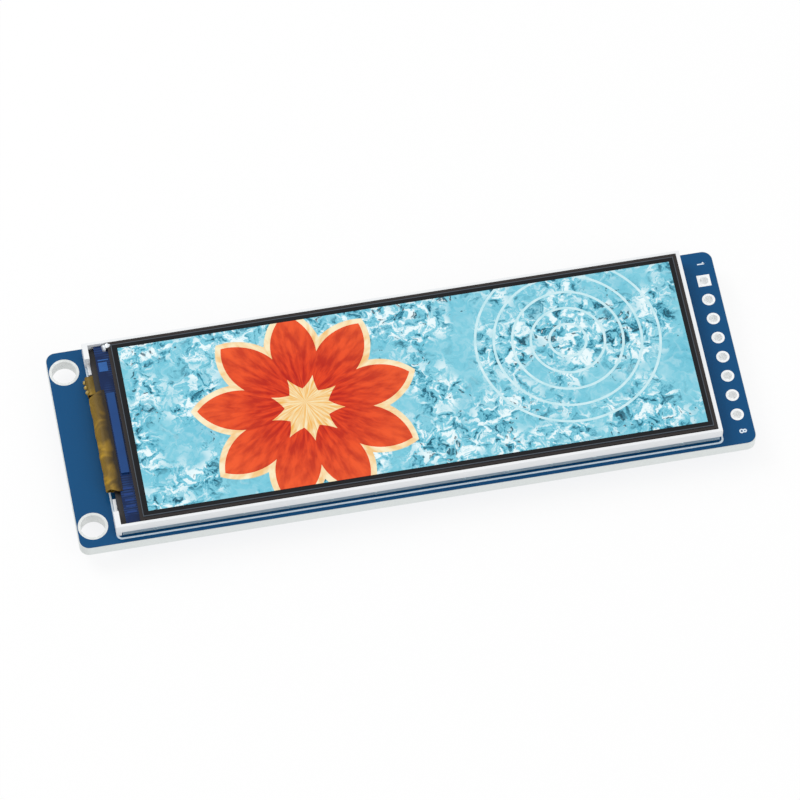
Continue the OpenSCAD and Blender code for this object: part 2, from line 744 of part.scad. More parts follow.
// ---- small parts, drawn as seen from the back ------------------------------

// moulded body with drafted sides, parted a little below the middle
module moulded(l, w, z0, z1, draft) {
    mid = z0 + (z1 - z0) * 0.45;
    intersection() {
        translate([0, w / 2, 0]) rotate([90, 0, 0]) linear_extrude(w)
            polygon([[-l / 2 + draft, z0], [l / 2 - draft, z0], [l / 2, mid],
                [l / 2 - draft, z1], [-l / 2 + draft, z1], [-l / 2, mid]]);
        translate([-l / 2, 0, 0]) rotate([90, 0, 90]) linear_extrude(l)
            polygon([[-w / 2 + draft, z0], [w / 2 - draft, z0], [w / 2, mid],
                [w / 2 - draft, z1], [-w / 2 + draft, z1], [-w / 2, mid]]);
    }
}

// gull-wing lead along +X from the body to its foot
module gull(x0, x1, w, top, t) {
    translate([0, w / 2, 0]) rotate([90, 0, 0]) linear_extrude(w)
        polygon([[x0, top], [x0 + 0.2, top], [x0 + 0.32, t], [x1, t], [x1, 0],
            [x0 + 0.18, 0], [x0 + 0.06, top - t], [x0, top - t]]);
}

module regulator_body() {
    color([0.20, 0.20, 0.22]) back() translate(reg_at) difference() {
        moulded(2.4, 4.5, 0, regulator_h, 0.12);
        for (s = [-1, 0, 1]) box(-1.3, -0.6, s * 1.5 - 0.25, s * 1.5 + 0.25, -1, 0.42);
        box(-0.7, 1.3, -0.85, 0.85, -1, 0.42);
    }
}

module regulator_leads() {
    color(silver) back() translate(reg_at) union() {
        for (s = [-1, 1]) box(-2.15, -0.65, s * 1.5 - 0.21, s * 1.5 + 0.21, 0, 0.4);
        box(-2.15, -0.6, -0.21, 0.21, 0, 0.4);
        box(-0.65, 1.25, -0.8, 0.8, 0, 0.4);
        translate([1.25, 0, 0]) intersection() {
            cylinder(h = 0.4, r = 0.8, $fn = 40);
            box(-0.1, 1, -1, 1, -1, 1);
        }
    }
}

module transistor_body() {
    color([0.16, 0.16, 0.17]) back() translate(trs_at) moulded(1.3, 2.9, 0.08, 1.02, 0.1);
}

module transistor_leads() {
    color(silver) back() translate(trs_at) {
        for (s = [-1, 1]) translate([-0.65, s * 0.95, 0]) mirror([1, 0, 0])
            gull(0, 0.58, 0.4, 0.58, 0.13);
        translate([0.65, 0, 0]) gull(0, 0.58, 0.4, 0.58, 0.13);
    }
}

module diode_body() {
    color([0.19, 0.19, 0.18]) back() translate(dio_at) difference() {
        moulded(1.7, 1.25, 0.06, 0.92, 0.08);
        // cathode band, a shallow step
        box(-0.72, -0.5, -1, 1, 0.9, 2);
    }
}

module diode_leads() {
    color(silver) back() translate(dio_at) for (m = [0, 1]) mirror([m, 0, 0])
        translate([0.85, 0, 0]) gull(0, 0.5, 0.3, 0.5, 0.12);
}

// body and wrap-round ends of a chip part
module chip_body(h, e) {
    box(-chip_l / 2 + e, chip_l / 2 - e, -chip_w / 2 + 0.02, chip_w / 2 - 0.02, 0.03, h - 0.02);
}
module chip_ends(h, e) {
    for (s = [-1, 1]) box(s > 0 ? chip_l / 2 - e : -chip_l / 2,
        s > 0 ? chip_l / 2 : -chip_l / 2 + e, -chip_w / 2, chip_w / 2, 0, h);
}

module resistors() {
    color([0.22, 0.23, 0.24]) back() for (p = res_at) translate(p) chip_body(res_h, 0.3);
}
module resistor_ends() {
    color(silver) back() for (p = res_at) translate(p) chip_ends(res_h, 0.3);
}
module capacitors() {
    color([0.60, 0.52, 0.42]) back() for (p = cap_at) translate(p) chip_body(cap_h, cap_end);
}
module capacitor_ends() {
    color(silver) back() for (p = cap_at) translate(p) chip_ends(cap_h, cap_end);
}

// solder pads: centre x, y, length, width
function all_pads() = concat(
    [for (p = concat(res_at, cap_at), s = [-1, 1]) [p[0] + s * 0.82, p[1], 0.82, 0.86]],
    [for (s = [-1, 1]) [trs_at[0] - 1.05, trs_at[1] + s * 0.95, 0.8, 0.7]],
    [[trs_at[0] + 1.05, trs_at[1], 0.8, 0.7]],
    [for (s = [-1, 1]) [dio_at[0] + s * 1.28, dio_at[1], 0.6, 0.55]],
    [for (s = [-1, 0, 1]) [reg_at[0] - 2.15, reg_at[1] + s * 1.5, 1.2, 0.7]],
    [[reg_at[0] + 0.9, reg_at[1], 1.6, 1.9]],
    [for (i = [0:contacts - 1]) [cx0 - 1.25, contact_y(i), 1, 0.3]],
    [for (s = [-1, 1]) [cx0 + 1.75, s * (conn_w / 2 + 0.15), 2, 0.7]]);

module pad_box(p, z0, z1) {
    box(p[0] - p[2] / 2, p[0] + p[2] / 2, p[1] - p[3] / 2, p[1] + p[3] / 2, z0, z1);
}

// concave solder fillet against a face at x = 0, rising to height h
module fillet(h, reach, w) {
    translate([0, w / 2, 0]) rotate([90, 0, 0]) linear_extrude(w)
        polygon([[0, 0], [reach, 0], [reach * 0.55, h * 0.18], [reach * 0.2, h * 0.5], [0, h]]);
}

module solder_joints() {
    color([0.84, 0.85, 0.86]) back() {
        for (p = all_pads()) pad_box(p, -mk, 0);
        for (p = res_at, m = [0, 1]) translate(p) mirror([m, 0, 0])
            translate([chip_l / 2, 0, 0]) fillet(res_h * 0.8, 0.38, 0.76);
        for (p = cap_at, m = [0, 1]) translate(p) mirror([m, 0, 0])
            translate([chip_l / 2, 0, 0]) fillet(cap_h * 0.6, 0.38, 0.76);
        // domed solder round the regulator's tab
        translate([reg_at[0] + 1.7, reg_at[1], 0]) difference() {
            cylinder(h = 0.28, r = 0.95, $fn = 40);
            translate([0, 0, -1]) cylinder(h = 3, r = 0.1, $fn = 24);
            box(-2, -0.42, -2, 2, -1, 1);
            translate([-0.45, 0, -1]) cylinder(h = 3, r = 0.82, $fn = 40);
        }
        for (s = [-1, 0, 1]) translate([reg_at[0] - 2.15, reg_at[1] + s * 1.5, 0])
            mirror([1, 0, 0]) fillet(0.3, 0.5, 0.5);
    }
}

// ---- assembly --------------------------------------------------------------

circuit_board();
front_solder_mask();
back_solder_mask();
mount_hole_rings();
header_pads();
front_marking();
back_marking();
back_tracks();
foam_tape();
steel_tray();
light_frame();
reflector_sheet();
light_guide();
diffuser_sheet();
prism_sheet();
backlight_leds();
backlight_flex();
backlight_solder();
rim_tape();
rear_polariser();
tft_glass();
filter_glass();
front_polariser();
image_water();
image_ripples();
image_petals();
image_rims();
glass_circuit();
driver_chip();
silver_paste();
main_flex();
flex_stiffener();
connector_housing();
connector_latch();
connector_contacts();
connector_nails();
regulator_body();
regulator_leads();
transistor_body();
transistor_leads();
diode_body();
diode_leads();
resistors();
resistor_ends();
capacitors();
capacitor_ends();
solder_joints();
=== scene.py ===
"""Bar-shaped colour display module: finishes, fine pieces and studio.

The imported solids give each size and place. This script gives them the finishes of the real
materials, adds what a solid can't show well (the folded flexible circuit, the lamp strip,
silver paste, printed numbers) and sets up the floor, the lamps and the camera.
Sizes of the module are in millimetres and are turned to metres where a mesh is made. The
studio's are in metres.
"""

import logging
import math
from dataclasses import dataclass
from enum import Enum

import bpy
import numpy as np
from mathutils import Matrix, Vector


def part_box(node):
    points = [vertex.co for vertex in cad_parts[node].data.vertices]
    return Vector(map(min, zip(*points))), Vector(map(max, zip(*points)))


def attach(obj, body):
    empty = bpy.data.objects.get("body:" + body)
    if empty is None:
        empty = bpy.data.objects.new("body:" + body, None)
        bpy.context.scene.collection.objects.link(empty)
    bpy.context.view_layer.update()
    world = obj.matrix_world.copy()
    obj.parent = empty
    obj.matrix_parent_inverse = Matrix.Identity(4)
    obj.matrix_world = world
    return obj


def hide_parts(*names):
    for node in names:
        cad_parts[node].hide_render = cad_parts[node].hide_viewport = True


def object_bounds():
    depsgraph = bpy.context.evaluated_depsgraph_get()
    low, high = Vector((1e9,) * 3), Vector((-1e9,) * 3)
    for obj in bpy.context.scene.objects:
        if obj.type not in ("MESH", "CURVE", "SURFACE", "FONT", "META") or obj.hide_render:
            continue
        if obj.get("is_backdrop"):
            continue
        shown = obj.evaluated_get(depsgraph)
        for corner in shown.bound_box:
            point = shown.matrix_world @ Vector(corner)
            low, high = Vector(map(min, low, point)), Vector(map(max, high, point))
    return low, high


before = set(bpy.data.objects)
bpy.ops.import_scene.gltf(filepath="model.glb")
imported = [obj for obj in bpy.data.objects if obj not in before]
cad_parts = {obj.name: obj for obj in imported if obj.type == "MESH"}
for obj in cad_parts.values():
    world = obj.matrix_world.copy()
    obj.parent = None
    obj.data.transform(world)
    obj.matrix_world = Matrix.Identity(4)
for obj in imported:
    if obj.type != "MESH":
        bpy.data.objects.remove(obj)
log = logging.getLogger("display_module")

MM = 0.001
TO_MM = 1000.0
Array = np.ndarray
Faces = list[list[int]]
Shade = tuple[float, float, float, float]
Pair = tuple[float, float]
Socket = bpy.types.NodeSocket
Tree = bpy.types.ShaderNodeTree


# ---- colours and nodes ---------------------------------------------------------


def linear(shade: str) -> Shade:
    """Turns an sRGB hex shade to the linear colour that a node takes.

    Args:
        shade: six hex digits, such as "1f5480".

    Returns:
        Red, green and blue from 0 to 1, and alpha 1.
    """
    parts = (int(shade[i : i + 2], 16) / 255 for i in (0, 2, 4))
    red, green, blue = (c / 12.92 if c <= 0.04045 else ((c + 0.055) / 1.055) ** 2.4 for c in parts)
    return red, green, blue, 1.0


def add(
    tree: Tree, kind: str, inputs: dict | None = None, out: str | int = 0, **settings
) -> Socket | None:
    """Adds one node with its settings and links.

    Args:
        tree: the material's node tree.
        kind: the node's type without its "ShaderNode" prefix.
        inputs: input names or numbers, each with a value, a shade in hex or a socket to link.
        out: the output to return, by name or number.
        **settings: properties of the node itself.

    Returns:
        The chosen output, or the first one. None for a node that has no output.
    """
    node = tree.nodes.new(f"ShaderNode{kind}")
    for name, value in settings.items():
        setattr(node, name, value)
    for name, value in (inputs or {}).items():
        if isinstance(value, bpy.types.NodeSocket):
            tree.links.new(value, node.inputs[name])
        else:
            plain = linear(value) if isinstance(value, str) else value
            node.inputs[name].default_value = plain
    return node.outputs[out] if len(node.outputs) else None


# the numbers of a Mix node's two colours, and what makes it mix colours
LOW, HIGH = 6, 7
COLOURS = {"out": 2, "data_type": "RGBA"}
# a Wave node's scale for bands that are 1 mm apart
BANDS = math.pi / 10


def blank(owner: bpy.types.Material | bpy.types.World) -> Tree:
    """Empties the node tree of a new material or world.

    Args:
        owner: the material or world.

    Returns:
        Its empty tree.
    """
    owner.use_nodes = True
    owner.node_tree.nodes.clear()
    return owner.node_tree


def put(name: str, data: bpy.types.ID) -> bpy.types.Object:
    """Puts a new object in the scene.

    Args:
        name: its name.
        data: its mesh, lamp or camera.

    Returns:
        The object.
    """
    made = bpy.data.objects.new(name, data)
    bpy.context.scene.collection.objects.link(made)
    return made


class Side(Enum):
    """The face of the board that a piece lies on, and which way is out of it."""

    FRONT = 1
    BACK = -1


# ---- meshes --------------------------------------------------------------------

# faces that meet at less than this angle are shaded as one surface
SMOOTH_BELOW = math.radians(40)


def mesh_piece(name: str, points: Array, faces: Faces, flat: Array | None = None) -> bpy.types.Object:
    """Makes an object at the origin from points in millimetres.

    Args:
        name: the piece's name.
        points: corner places, one row each.
        faces: corner numbers of each face, anticlockwise from outside.
        flat: for each corner, its place along and across the flattened piece, in
            millimetres, kept as the attribute "flat" for patterns that follow it.

    Returns:
        The new object.
    """
    mesh = bpy.data.meshes.new(name)
    mesh.from_pydata((np.asarray(points) * MM).tolist(), [], faces)
    if flat is not None:
        layer = mesh.attributes.new("flat", "FLOAT_VECTOR", "POINT")
        rows = np.zeros((len(points), 3), np.float32)
        rows[:, : flat.shape[1]] = flat
        layer.data.foreach_set("vector", rows.ravel())
    mesh.shade_smooth()
    mesh.set_sharp_from_angle(angle=SMOOTH_BELOW)
    mesh.validate()
    return put(name, mesh)


def tube_faces(stations: int, ring: int, first: int = 0) -> Faces:
    """Faces of a closed skin over rings of corners, with both ends filled.

    Corner (i, j) is number first + i * ring + j. Face (i, j) joins rings i and i + 1.

    Args:
        stations: how many rings there are.
        ring: corners in a ring.
        first: number of the first corner.

    Returns:
        The sides, then the two ends.
    """
    i = np.arange(stations - 1)[:, None]
    j = np.arange(ring)[None, :]
    k = (j + 1) % ring
    quads = np.stack([i * ring + j, i * ring + k, (i + 1) * ring + k, (i + 1) * ring + j], axis=-1)
    start = list(range(ring - 1, -1, -1))
    end = list(range((stations - 1) * ring, stations * ring))
    faces = quads.reshape(-1, 4).tolist() + [start, end]
    return [[first + c for c in f] for f in faces]


def bezier(a: Pair, b: Pair, c: Pair, d: Pair, steps: int) -> Array:
    """Cubic from a to d: a(1-t)^3 + 3b(1-t)^2 t + 3c(1-t)t^2 + d t^3, without t = 0.

    Args:
        a: where it starts.
        b: what it heads for first.
        c: what it comes from last.
        d: where it ends.
        steps: how many points it gives.

    Returns:
        Points, one row each.
    """
    t = np.linspace(0, 1, steps + 1)[1:, None]
    s = 1 - t
    a, b, c, d = (np.asarray(p) for p in (a, b, c, d))
    return a * s**3 + 3 * b * s**2 * t + 3 * c * s * t**2 + d * t**3


def arc(centre: Pair, radius: float, start: float, end: float, steps: int) -> Array:
    """Points centre + radius (cos a, sin a) for a from start to end.

    Args:
        centre: the middle of the circle.
        radius: its radius.
        start: first angle, in degrees.
        end: last angle, in degrees.
        steps: how many equal steps it takes.

    Returns:
        Points, one row each.
    """
    a = np.radians(np.linspace(start, end, steps + 1))
    return np.asarray(centre) + radius * np.stack([np.cos(a), np.sin(a)], axis=1)


def run_of(path: Array) -> Array:
    """The distance along the path to each of its points."""
    return np.r_[0, np.cumsum(np.linalg.norm(np.diff(path, axis=0), axis=1))]


def even(path: Array, gap: float) -> Array:
    """The same path with its points spaced evenly by its length.

    Args:
        path: points, one row each.
        gap: about how far apart the new points are.

    Returns:
        The new points.
    """
    run = run_of(path)
    at = np.linspace(0, run[-1], int(run[-1] / gap) + 2)
    return np.stack([np.interp(at, run, path[:, k]) for k in range(path.shape[1])], axis=1)


def band(path: Array, low: Array, high: Array, thick: float, across: int) -> tuple[Array, Faces, Array]:
    """A film carried along a path in the X-Z plane, with its width along Y.

    At each path point p with normal n and half thickness h, the ring of corners is
    p + h n at y from high to low, then p - h n back from low to high.

    Args:
        path: points (x, z), one row each.
        low: the lower Y of the film at each point.
        high: the upper Y of the film at each point.
        thick: the film's thickness.
        across: corners over its width.

    Returns:
        Corner places, faces, and each corner's distance along and across the film.
    """
    step = np.gradient(path, axis=0)
    step /= np.linalg.norm(step, axis=1)[:, None]
    normal = np.stack([-step[:, 1], step[:, 0]], axis=1)
    share = np.linspace(0, 1, across)[None, :]
    y = low[:, None] * (1 - share) + high[:, None] * share
    y = np.concatenate([y[:, ::-1], y], axis=1)
    half = np.r_[np.full(across, thick / 2), np.full(across, -thick / 2)][None, :, None]
    xz = path[:, None, :] + normal[:, None, :] * half
    points = np.stack([xz[..., 0], y, xz[..., 1]], axis=-1)
    along = np.broadcast_to(run_of(path)[:, None], y.shape)
    flat = np.stack([along, y], axis=-1)
    faces = [f[::-1] for f in tube_faces(len(path), 2 * across)]
    return points.reshape(-1, 3), faces, flat.reshape(-1, 2)


def stroke(path: Array, wide: float, z0: float, z1: float, first: int) -> tuple[Array, Faces]:
    """A printed line along a flat path: a closed ring, or open with round ends.

    The half width is wide / 2 between the ends, and wide / 2 sqrt(1 - t^2) where an open
    line runs out by t half widths past them. A path that ends where it starts is closed.

    Args:
        path: points (x, y).
        wide: the line's width.
        z0: height of the face that the ink lies on.
        z1: height of the ink's top.
        first: number of the first corner.

    Returns:
        Corner places and faces.
    """
    half = wide / 2
    closed = bool(np.allclose(path[0], path[-1]))
    path = even(path, wide / 3)
    if closed:
        path = path[:-1]
        step = np.roll(path, -1, axis=0) - np.roll(path, 1, axis=0)
        width = np.full(len(path), half)
    else:
        lead = (path[1] - path[0]) / np.linalg.norm(path[1] - path[0])
        tail = (path[-1] - path[-2]) / np.linalg.norm(path[-1] - path[-2])
        t = np.array([0.995, 0.85, 0.6, 0.3])
        path = np.concatenate(
            [path[0] - lead * half * t[:, None], path, path[-1] + tail * half * t[::-1, None]]
        )
        width = np.full(len(path), half)
        width[: len(t)] = half * np.sqrt(1 - t**2)
        width[-len(t) :] = half * np.sqrt(1 - t[::-1] ** 2)
        step = np.gradient(path, axis=0)
    step = step / np.linalg.norm(step, axis=1)[:, None]
    side = np.stack([-step[:, 1], step[:, 0]], axis=1) * width[:, None]
    left, right = path + side, path - side
    z = np.ones((len(path), 1))
    ring = np.stack(
        [np.c_[left, z * z0], np.c_[right, z * z0], np.c_[right, z * z1], np.c_[left, z * z1]], axis=1
    )
    if closed:
        # the last ring of corners is the first one again, and there are no ends
        sides = tube_faces(len(path) + 1, 4)[:-2]
        faces = [[first + c % (4 * len(path)) for c in f] for f in sides]
    else:
        faces = tube_faces(len(path), 4, first)
    if z1 < z0:
        faces = [f[::-1] for f in faces]
    return ring.reshape(-1, 3), faces


def dress(piece: bpy.types.Object, material: bpy.types.Material) -> None:
    """Gives the whole piece one material.

    Args:
        piece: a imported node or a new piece.
        material: its finish.
    """
    slots = piece.material_slots
    if not len(slots):
        piece.data.materials.append(material)
    for held in slots:
        held.material = material


# ---- finishes ------------------------------------------------------------------


@dataclass(frozen=True)
class Finish:
    """A plain moulded, printed or coated surface with its own drift of tone and grain.

    Attributes:
        name: the real material and how it was made.
        shade: its colour.
        deep: the colour that it drifts towards in places.
        drift_mm: how far apart those places are.
        roughness: 0 for a mirror, 1 for chalk.
        metallic: 1 for bare metal.
        ior: refractive index of what isn't metal.
        gloss: level of the mirror part, 0.5 for an uncoated surface.
        coat: strength of a clear layer on top.
        grain_mm: size of the surface's grain.
        relief_mm: height of the grain.
    """

    name: str
    shade: str
    deep: str
    drift_mm: float = 3.0
    roughness: float = 0.5
    metallic: float = 0.0
    ior: float = 1.5
    gloss: float = 0.5
    coat: float = 0.0
    grain_mm: float = 0.12
    relief_mm: float = 0.004

    def colour(self, tree: Tree, at: Socket) -> Socket:
        """The drift of tone: soft noise between the two shades, over places in millimetres."""
        cloud = add(tree, "TexNoise", {"Vector": at, "Scale": 1 / self.drift_mm, "Detail": 3.0})
        return add(tree, "Mix", {0: cloud, LOW: self.shade, HIGH: self.deep}, **COLOURS)

    def relief(self, tree: Tree, at: Socket) -> Socket:
        """The grain as a share of relief_mm: soft noise over places in millimetres."""
        return add(tree, "TexNoise", {"Vector": at, "Scale": 1 / self.grain_mm, "Detail": 2.0})

    def make(self) -> bpy.types.Material:
        """Builds the material from its colour and relief.

        Returns:
            The new material.
        """
        material = bpy.data.materials.new(self.name)
        tree = blank(material)
        place = add(tree, "TexCoord", out="Object")
        at = add(tree, "VectorMath", {0: place, "Scale": TO_MM}, operation="SCALE")
        bump = add(
            tree,
            "Bump",
            {"Height": self.relief(tree, at), "Distance": self.relief_mm * MM, "Strength": 1.0},
        )
        shader = add(
            tree,
            "BsdfPrincipled",
            {
                "Base Color": self.colour(tree, at),
                "Roughness": self.roughness,
                "Metallic": self.metallic,
                "IOR": self.ior,
                "Specular IOR Level": self.gloss,
                "Coat Weight": self.coat,
                "Normal": bump,
            },
        )
        add(tree, "OutputMaterial", {"Surface": shader})
        return material


@dataclass(frozen=True)
class SolderMask(Finish):
    """Photo-imaged lacquer over glass cloth: the weave shows as a faint even ripple.

    Attributes:
        weave_mm: pitch of the glass cloth.
    """

    weave_mm: float = 0.5

    def relief(self, tree: Tree, at: Socket) -> Socket:
        """Warp and weft as two crossed waves, with the lacquer's own orange peel.

        Args:
            tree: the node tree.
            at: the place in millimetres.

        Returns:
            The height, as a share of relief_mm.
        """
        wave = {"Vector": at, "Scale": BANDS / self.weave_mm, "Distortion": 0.6}
        warp, weft = (add(tree, "TexWave", wave, out="Fac", bands_direction=axis) for axis in "XY")
        cloth = add(tree, "Math", {0: warp, 1: weft}, operation="MULTIPLY")
        peel = add(tree, "TexNoise", {"Vector": at, "Scale": 1 / self.grain_mm})
        return add(tree, "Math", {0: cloth, 1: 0.5, 2: peel}, operation="MULTIPLY_ADD")


@dataclass(frozen=True)
class TrackMask(SolderMask):
    """Lacquer over a copper track, with painted shade as dark lines along the track's sloped shoulders.

    Attributes:
        shoulder_shade: colour of the painted shade along the track's two edges.
        shoulder_mm: width of each dark line.
        turn: dot product of the rounded edge's normal with the flat face's at which the
            dark line begins, and at which it is full.
    """

    shoulder_shade: str = "011f3f"
    shoulder_mm: float = 0.075
    turn: Pair = (0.9995, 0.98)

    def colour(self, tree: Tree, at: Socket) -> Socket:
        """The painted shade grows as the rounded edge's normal leaves the flat face's.

        Args:
            tree: the node tree.
            at: the place in millimetres.

        Returns:
            The colour.
        """
        # painted shade: darker where the surface turns down at the track's edges
        soft = add(tree, "Bevel", {"Radius": self.shoulder_mm * MM}, samples=6)
        true = add(tree, "NewGeometry", out="Normal")
        same = add(tree, "VectorMath", {0: soft, 1: true}, out="Value", operation="DOT_PRODUCT")
        edge = add(tree, "MapRange", {"Value": same, "From Min": self.turn[0], "From Max": self.turn[1]})
        plain = super().colour(tree, at)
        return add(tree, "Mix", {0: edge, LOW: plain, HIGH: self.shoulder_shade}, **COLOURS)


@dataclass(frozen=True)
class Laminate(Finish):
    """Routed glass-fibre laminate: stacked plies with pale broken fibre ends.

    Attributes:
        ply_mm: thickness of a ply.
        fleck_mm: length of the broken fibre ends.
        slot: X and Y of the slot's middle, where the laminate is painted grey-beige as shade inside the
            slot.
        slot_reach: how far that painted shade goes from there along X and Y.
        slot_shade: colour of the painted shade in and round the slot.
    """

    ply_mm: float = 0.19
    fleck_mm: float = 0.2
    slot: Pair = (0.0, 0.0)
    slot_reach: Pair = (1.2, 4.2)
    # painted shade inside the slot, where the flex passes through the board
    slot_shade: str = "aba89b"

    def colour(self, tree: Tree, at: Socket) -> Socket:
        """Plies as waves over the thickness, broken up by short fibre flecks, with painted shade round the
        slot.

        Args:
            tree: the node tree.
            at: the place in millimetres.

        Returns:
            The colour.
        """
        stack = {"Scale": BANDS / self.ply_mm, "Distortion": 2.5, "Detail": 3.0}
        plies = add(
            tree, "TexWave", {"Vector": at, **stack, "Detail Scale": 2.0}, out="Fac", bands_direction="Z"
        )
        flecks = add(tree, "TexNoise", {"Vector": at, "Scale": 1 / self.fleck_mm, "Detail": 4.0})
        share = add(tree, "Math", {0: plies, 1: flecks}, operation="MULTIPLY")
        edge = add(tree, "Mix", {0: share, LOW: self.shade, HIGH: self.deep}, **COLOURS)
        # painted shade: grey-beige within slot_reach of the slot's middle
        arm = add(tree, "VectorMath", {0: at, 1: (*self.slot, 0.0)}, operation="SUBTRACT")
        x = add(tree, "SeparateXYZ", {0: arm}, out="X")
        near = []
        for axis, reach in zip((x, x.node.outputs["Y"]), self.slot_reach):
            side = add(tree, "Math", {0: axis}, operation="ABSOLUTE")
            near.append(add(tree, "Math", {0: side, 1: reach}, operation="LESS_THAN"))
        rim = add(tree, "Math", {0: near[0], 1: near[1]}, operation="MULTIPLY")
        return add(tree, "Mix", {0: rim, LOW: edge, HIGH: self.slot_shade}, **COLOURS)


@dataclass(frozen=True)
class RolledSheet(Finish):
    """Rolled stainless sheet: fine scratches along X, tight across it.

    Attributes:
        scratch_mm: length and spacing of the scratches.
    """

    scratch_mm: Pair = (5.556, 0.1111)

    def relief(self, tree: Tree, at: Socket) -> Socket:
        """Noise drawn out along the rolling direction.

        Args:
            tree: the node tree.
            at: the place in millimetres.

        Returns:
            The height, as a share of relief_mm.
        """
        long, fine = (1 / size for size in self.scratch_mm)
        drawn = add(tree, "VectorMath", {0: at, 1: (long, fine, fine)}, operation="MULTIPLY")
        return add(tree, "TexNoise", {"Vector": drawn, "Scale": 1.0, "Detail": 3.0})


@dataclass(frozen=True)
class Film(Finish):
    """A die-cut film with a painted highlight along its cut edge, where the edge catches the light.

    Attributes:
        edge: colour of the painted highlight along the cut edge.
        low: the film's lowest X and Y.
        high: its highest X and Y.
        highlight_mm: width of that painted highlight, seen from above.
    """

    edge: str = "4c545d"
    low: Pair = (0.0, 0.0)
    high: Pair = (1.0, 1.0)
    highlight_mm: float = 0.09

    def colour(self, tree: Tree, at: Socket) -> Socket:
        """The film's tone, and the painted highlight where less than highlight_mm is left to a side.

        Args:
            tree: the node tree.
            at: the place in millimetres.

        Returns:
            The colour.
        """
        x = add(tree, "SeparateXYZ", {0: at}, out="X")
        y = x.node.outputs["Y"]
        room = [
            add(tree, "Math", {0: high, 1: low}, operation="SUBTRACT")
            for axis, k in ((x, 0), (y, 1))
            for high, low in ((axis, self.low[k]), (self.high[k], axis))
        ]
        least = room[0]
        for side in room[1:]:
            least = add(tree, "Math", {0: least, 1: side}, operation="MINIMUM")
        # painted highlight: a thin band along each side of the film
        rim = add(tree, "Math", {0: least, 1: self.highlight_mm}, operation="LESS_THAN")
        plain = super().colour(tree, at)
        return add(tree, "Mix", {0: rim, LOW: plain, HIGH: self.edge}, **COLOURS)


@dataclass(frozen=True)
class ContactGlass(Finish):
    """The glass ledge with its fan of thin metal lines, seen as fine blue stripes.

    Attributes:
        line_mm: pitch of the lines, drawn coarser than the real ones so that they show.
        line: colour of a line.
        group_mm: how far apart the groups of lines are.
        strength: the most that a line covers the glass.
    """

    line_mm: float = 0.3
    line: str = "2a4f8d"
    group_mm: float = 2.222
    strength: float = 0.55

    def colour(self, tree: Tree, at: Socket) -> Socket:
        """Lines along X every line_mm, in groups that fade in and out across the ledge.

        Args:
            tree: the node tree.
            at: the place in millimetres.

        Returns:
            The colour.
        """
        fine = add(
            tree,
            "TexWave",
            {"Vector": at, "Scale": BANDS / self.line_mm, "Distortion": 0.4},
            out="Fac",
            bands_direction="Y",
        )
        groups = add(tree, "TexNoise", {"Vector": at, "Scale": 1 / self.group_mm, "Detail": 1.0})
        sharp = add(
            tree, "MapRange", {"Value": groups, "From Min": 0.42, "From Max": 0.6, "To Max": self.strength}
        )
        share = add(tree, "Math", {0: fine, 1: sharp}, operation="MULTIPLY")
        plain = super().colour(tree, at)
        return add(tree, "Mix", {0: share, LOW: plain, HIGH: self.line}, **COLOURS)


@dataclass(frozen=True)
class ThinMetal(Finish):
    """Thin metal on the ledge: bright at its upper end and dull at the lower one.

    Attributes:
        dull: colour below the middle.
        middle: Y of the change.
    """

    dull: str = "1c3b77"
    middle: float = 0.0

    def colour(self, tree: Tree, at: Socket) -> Socket:
        """The two tones on the two sides of the middle.

        Args:
            tree: the node tree.
            at: the place in millimetres.

        Returns:
            The colour.
        """
        y = add(tree, "SeparateXYZ", {0: at}, out="Y")
        upper = add(tree, "Math", {0: y, 1: self.middle}, operation="GREATER_THAN")
        plain = super().colour(tree, at)
        return add(tree, "Mix", {0: upper, LOW: self.dull, HIGH: plain}, **COLOURS)


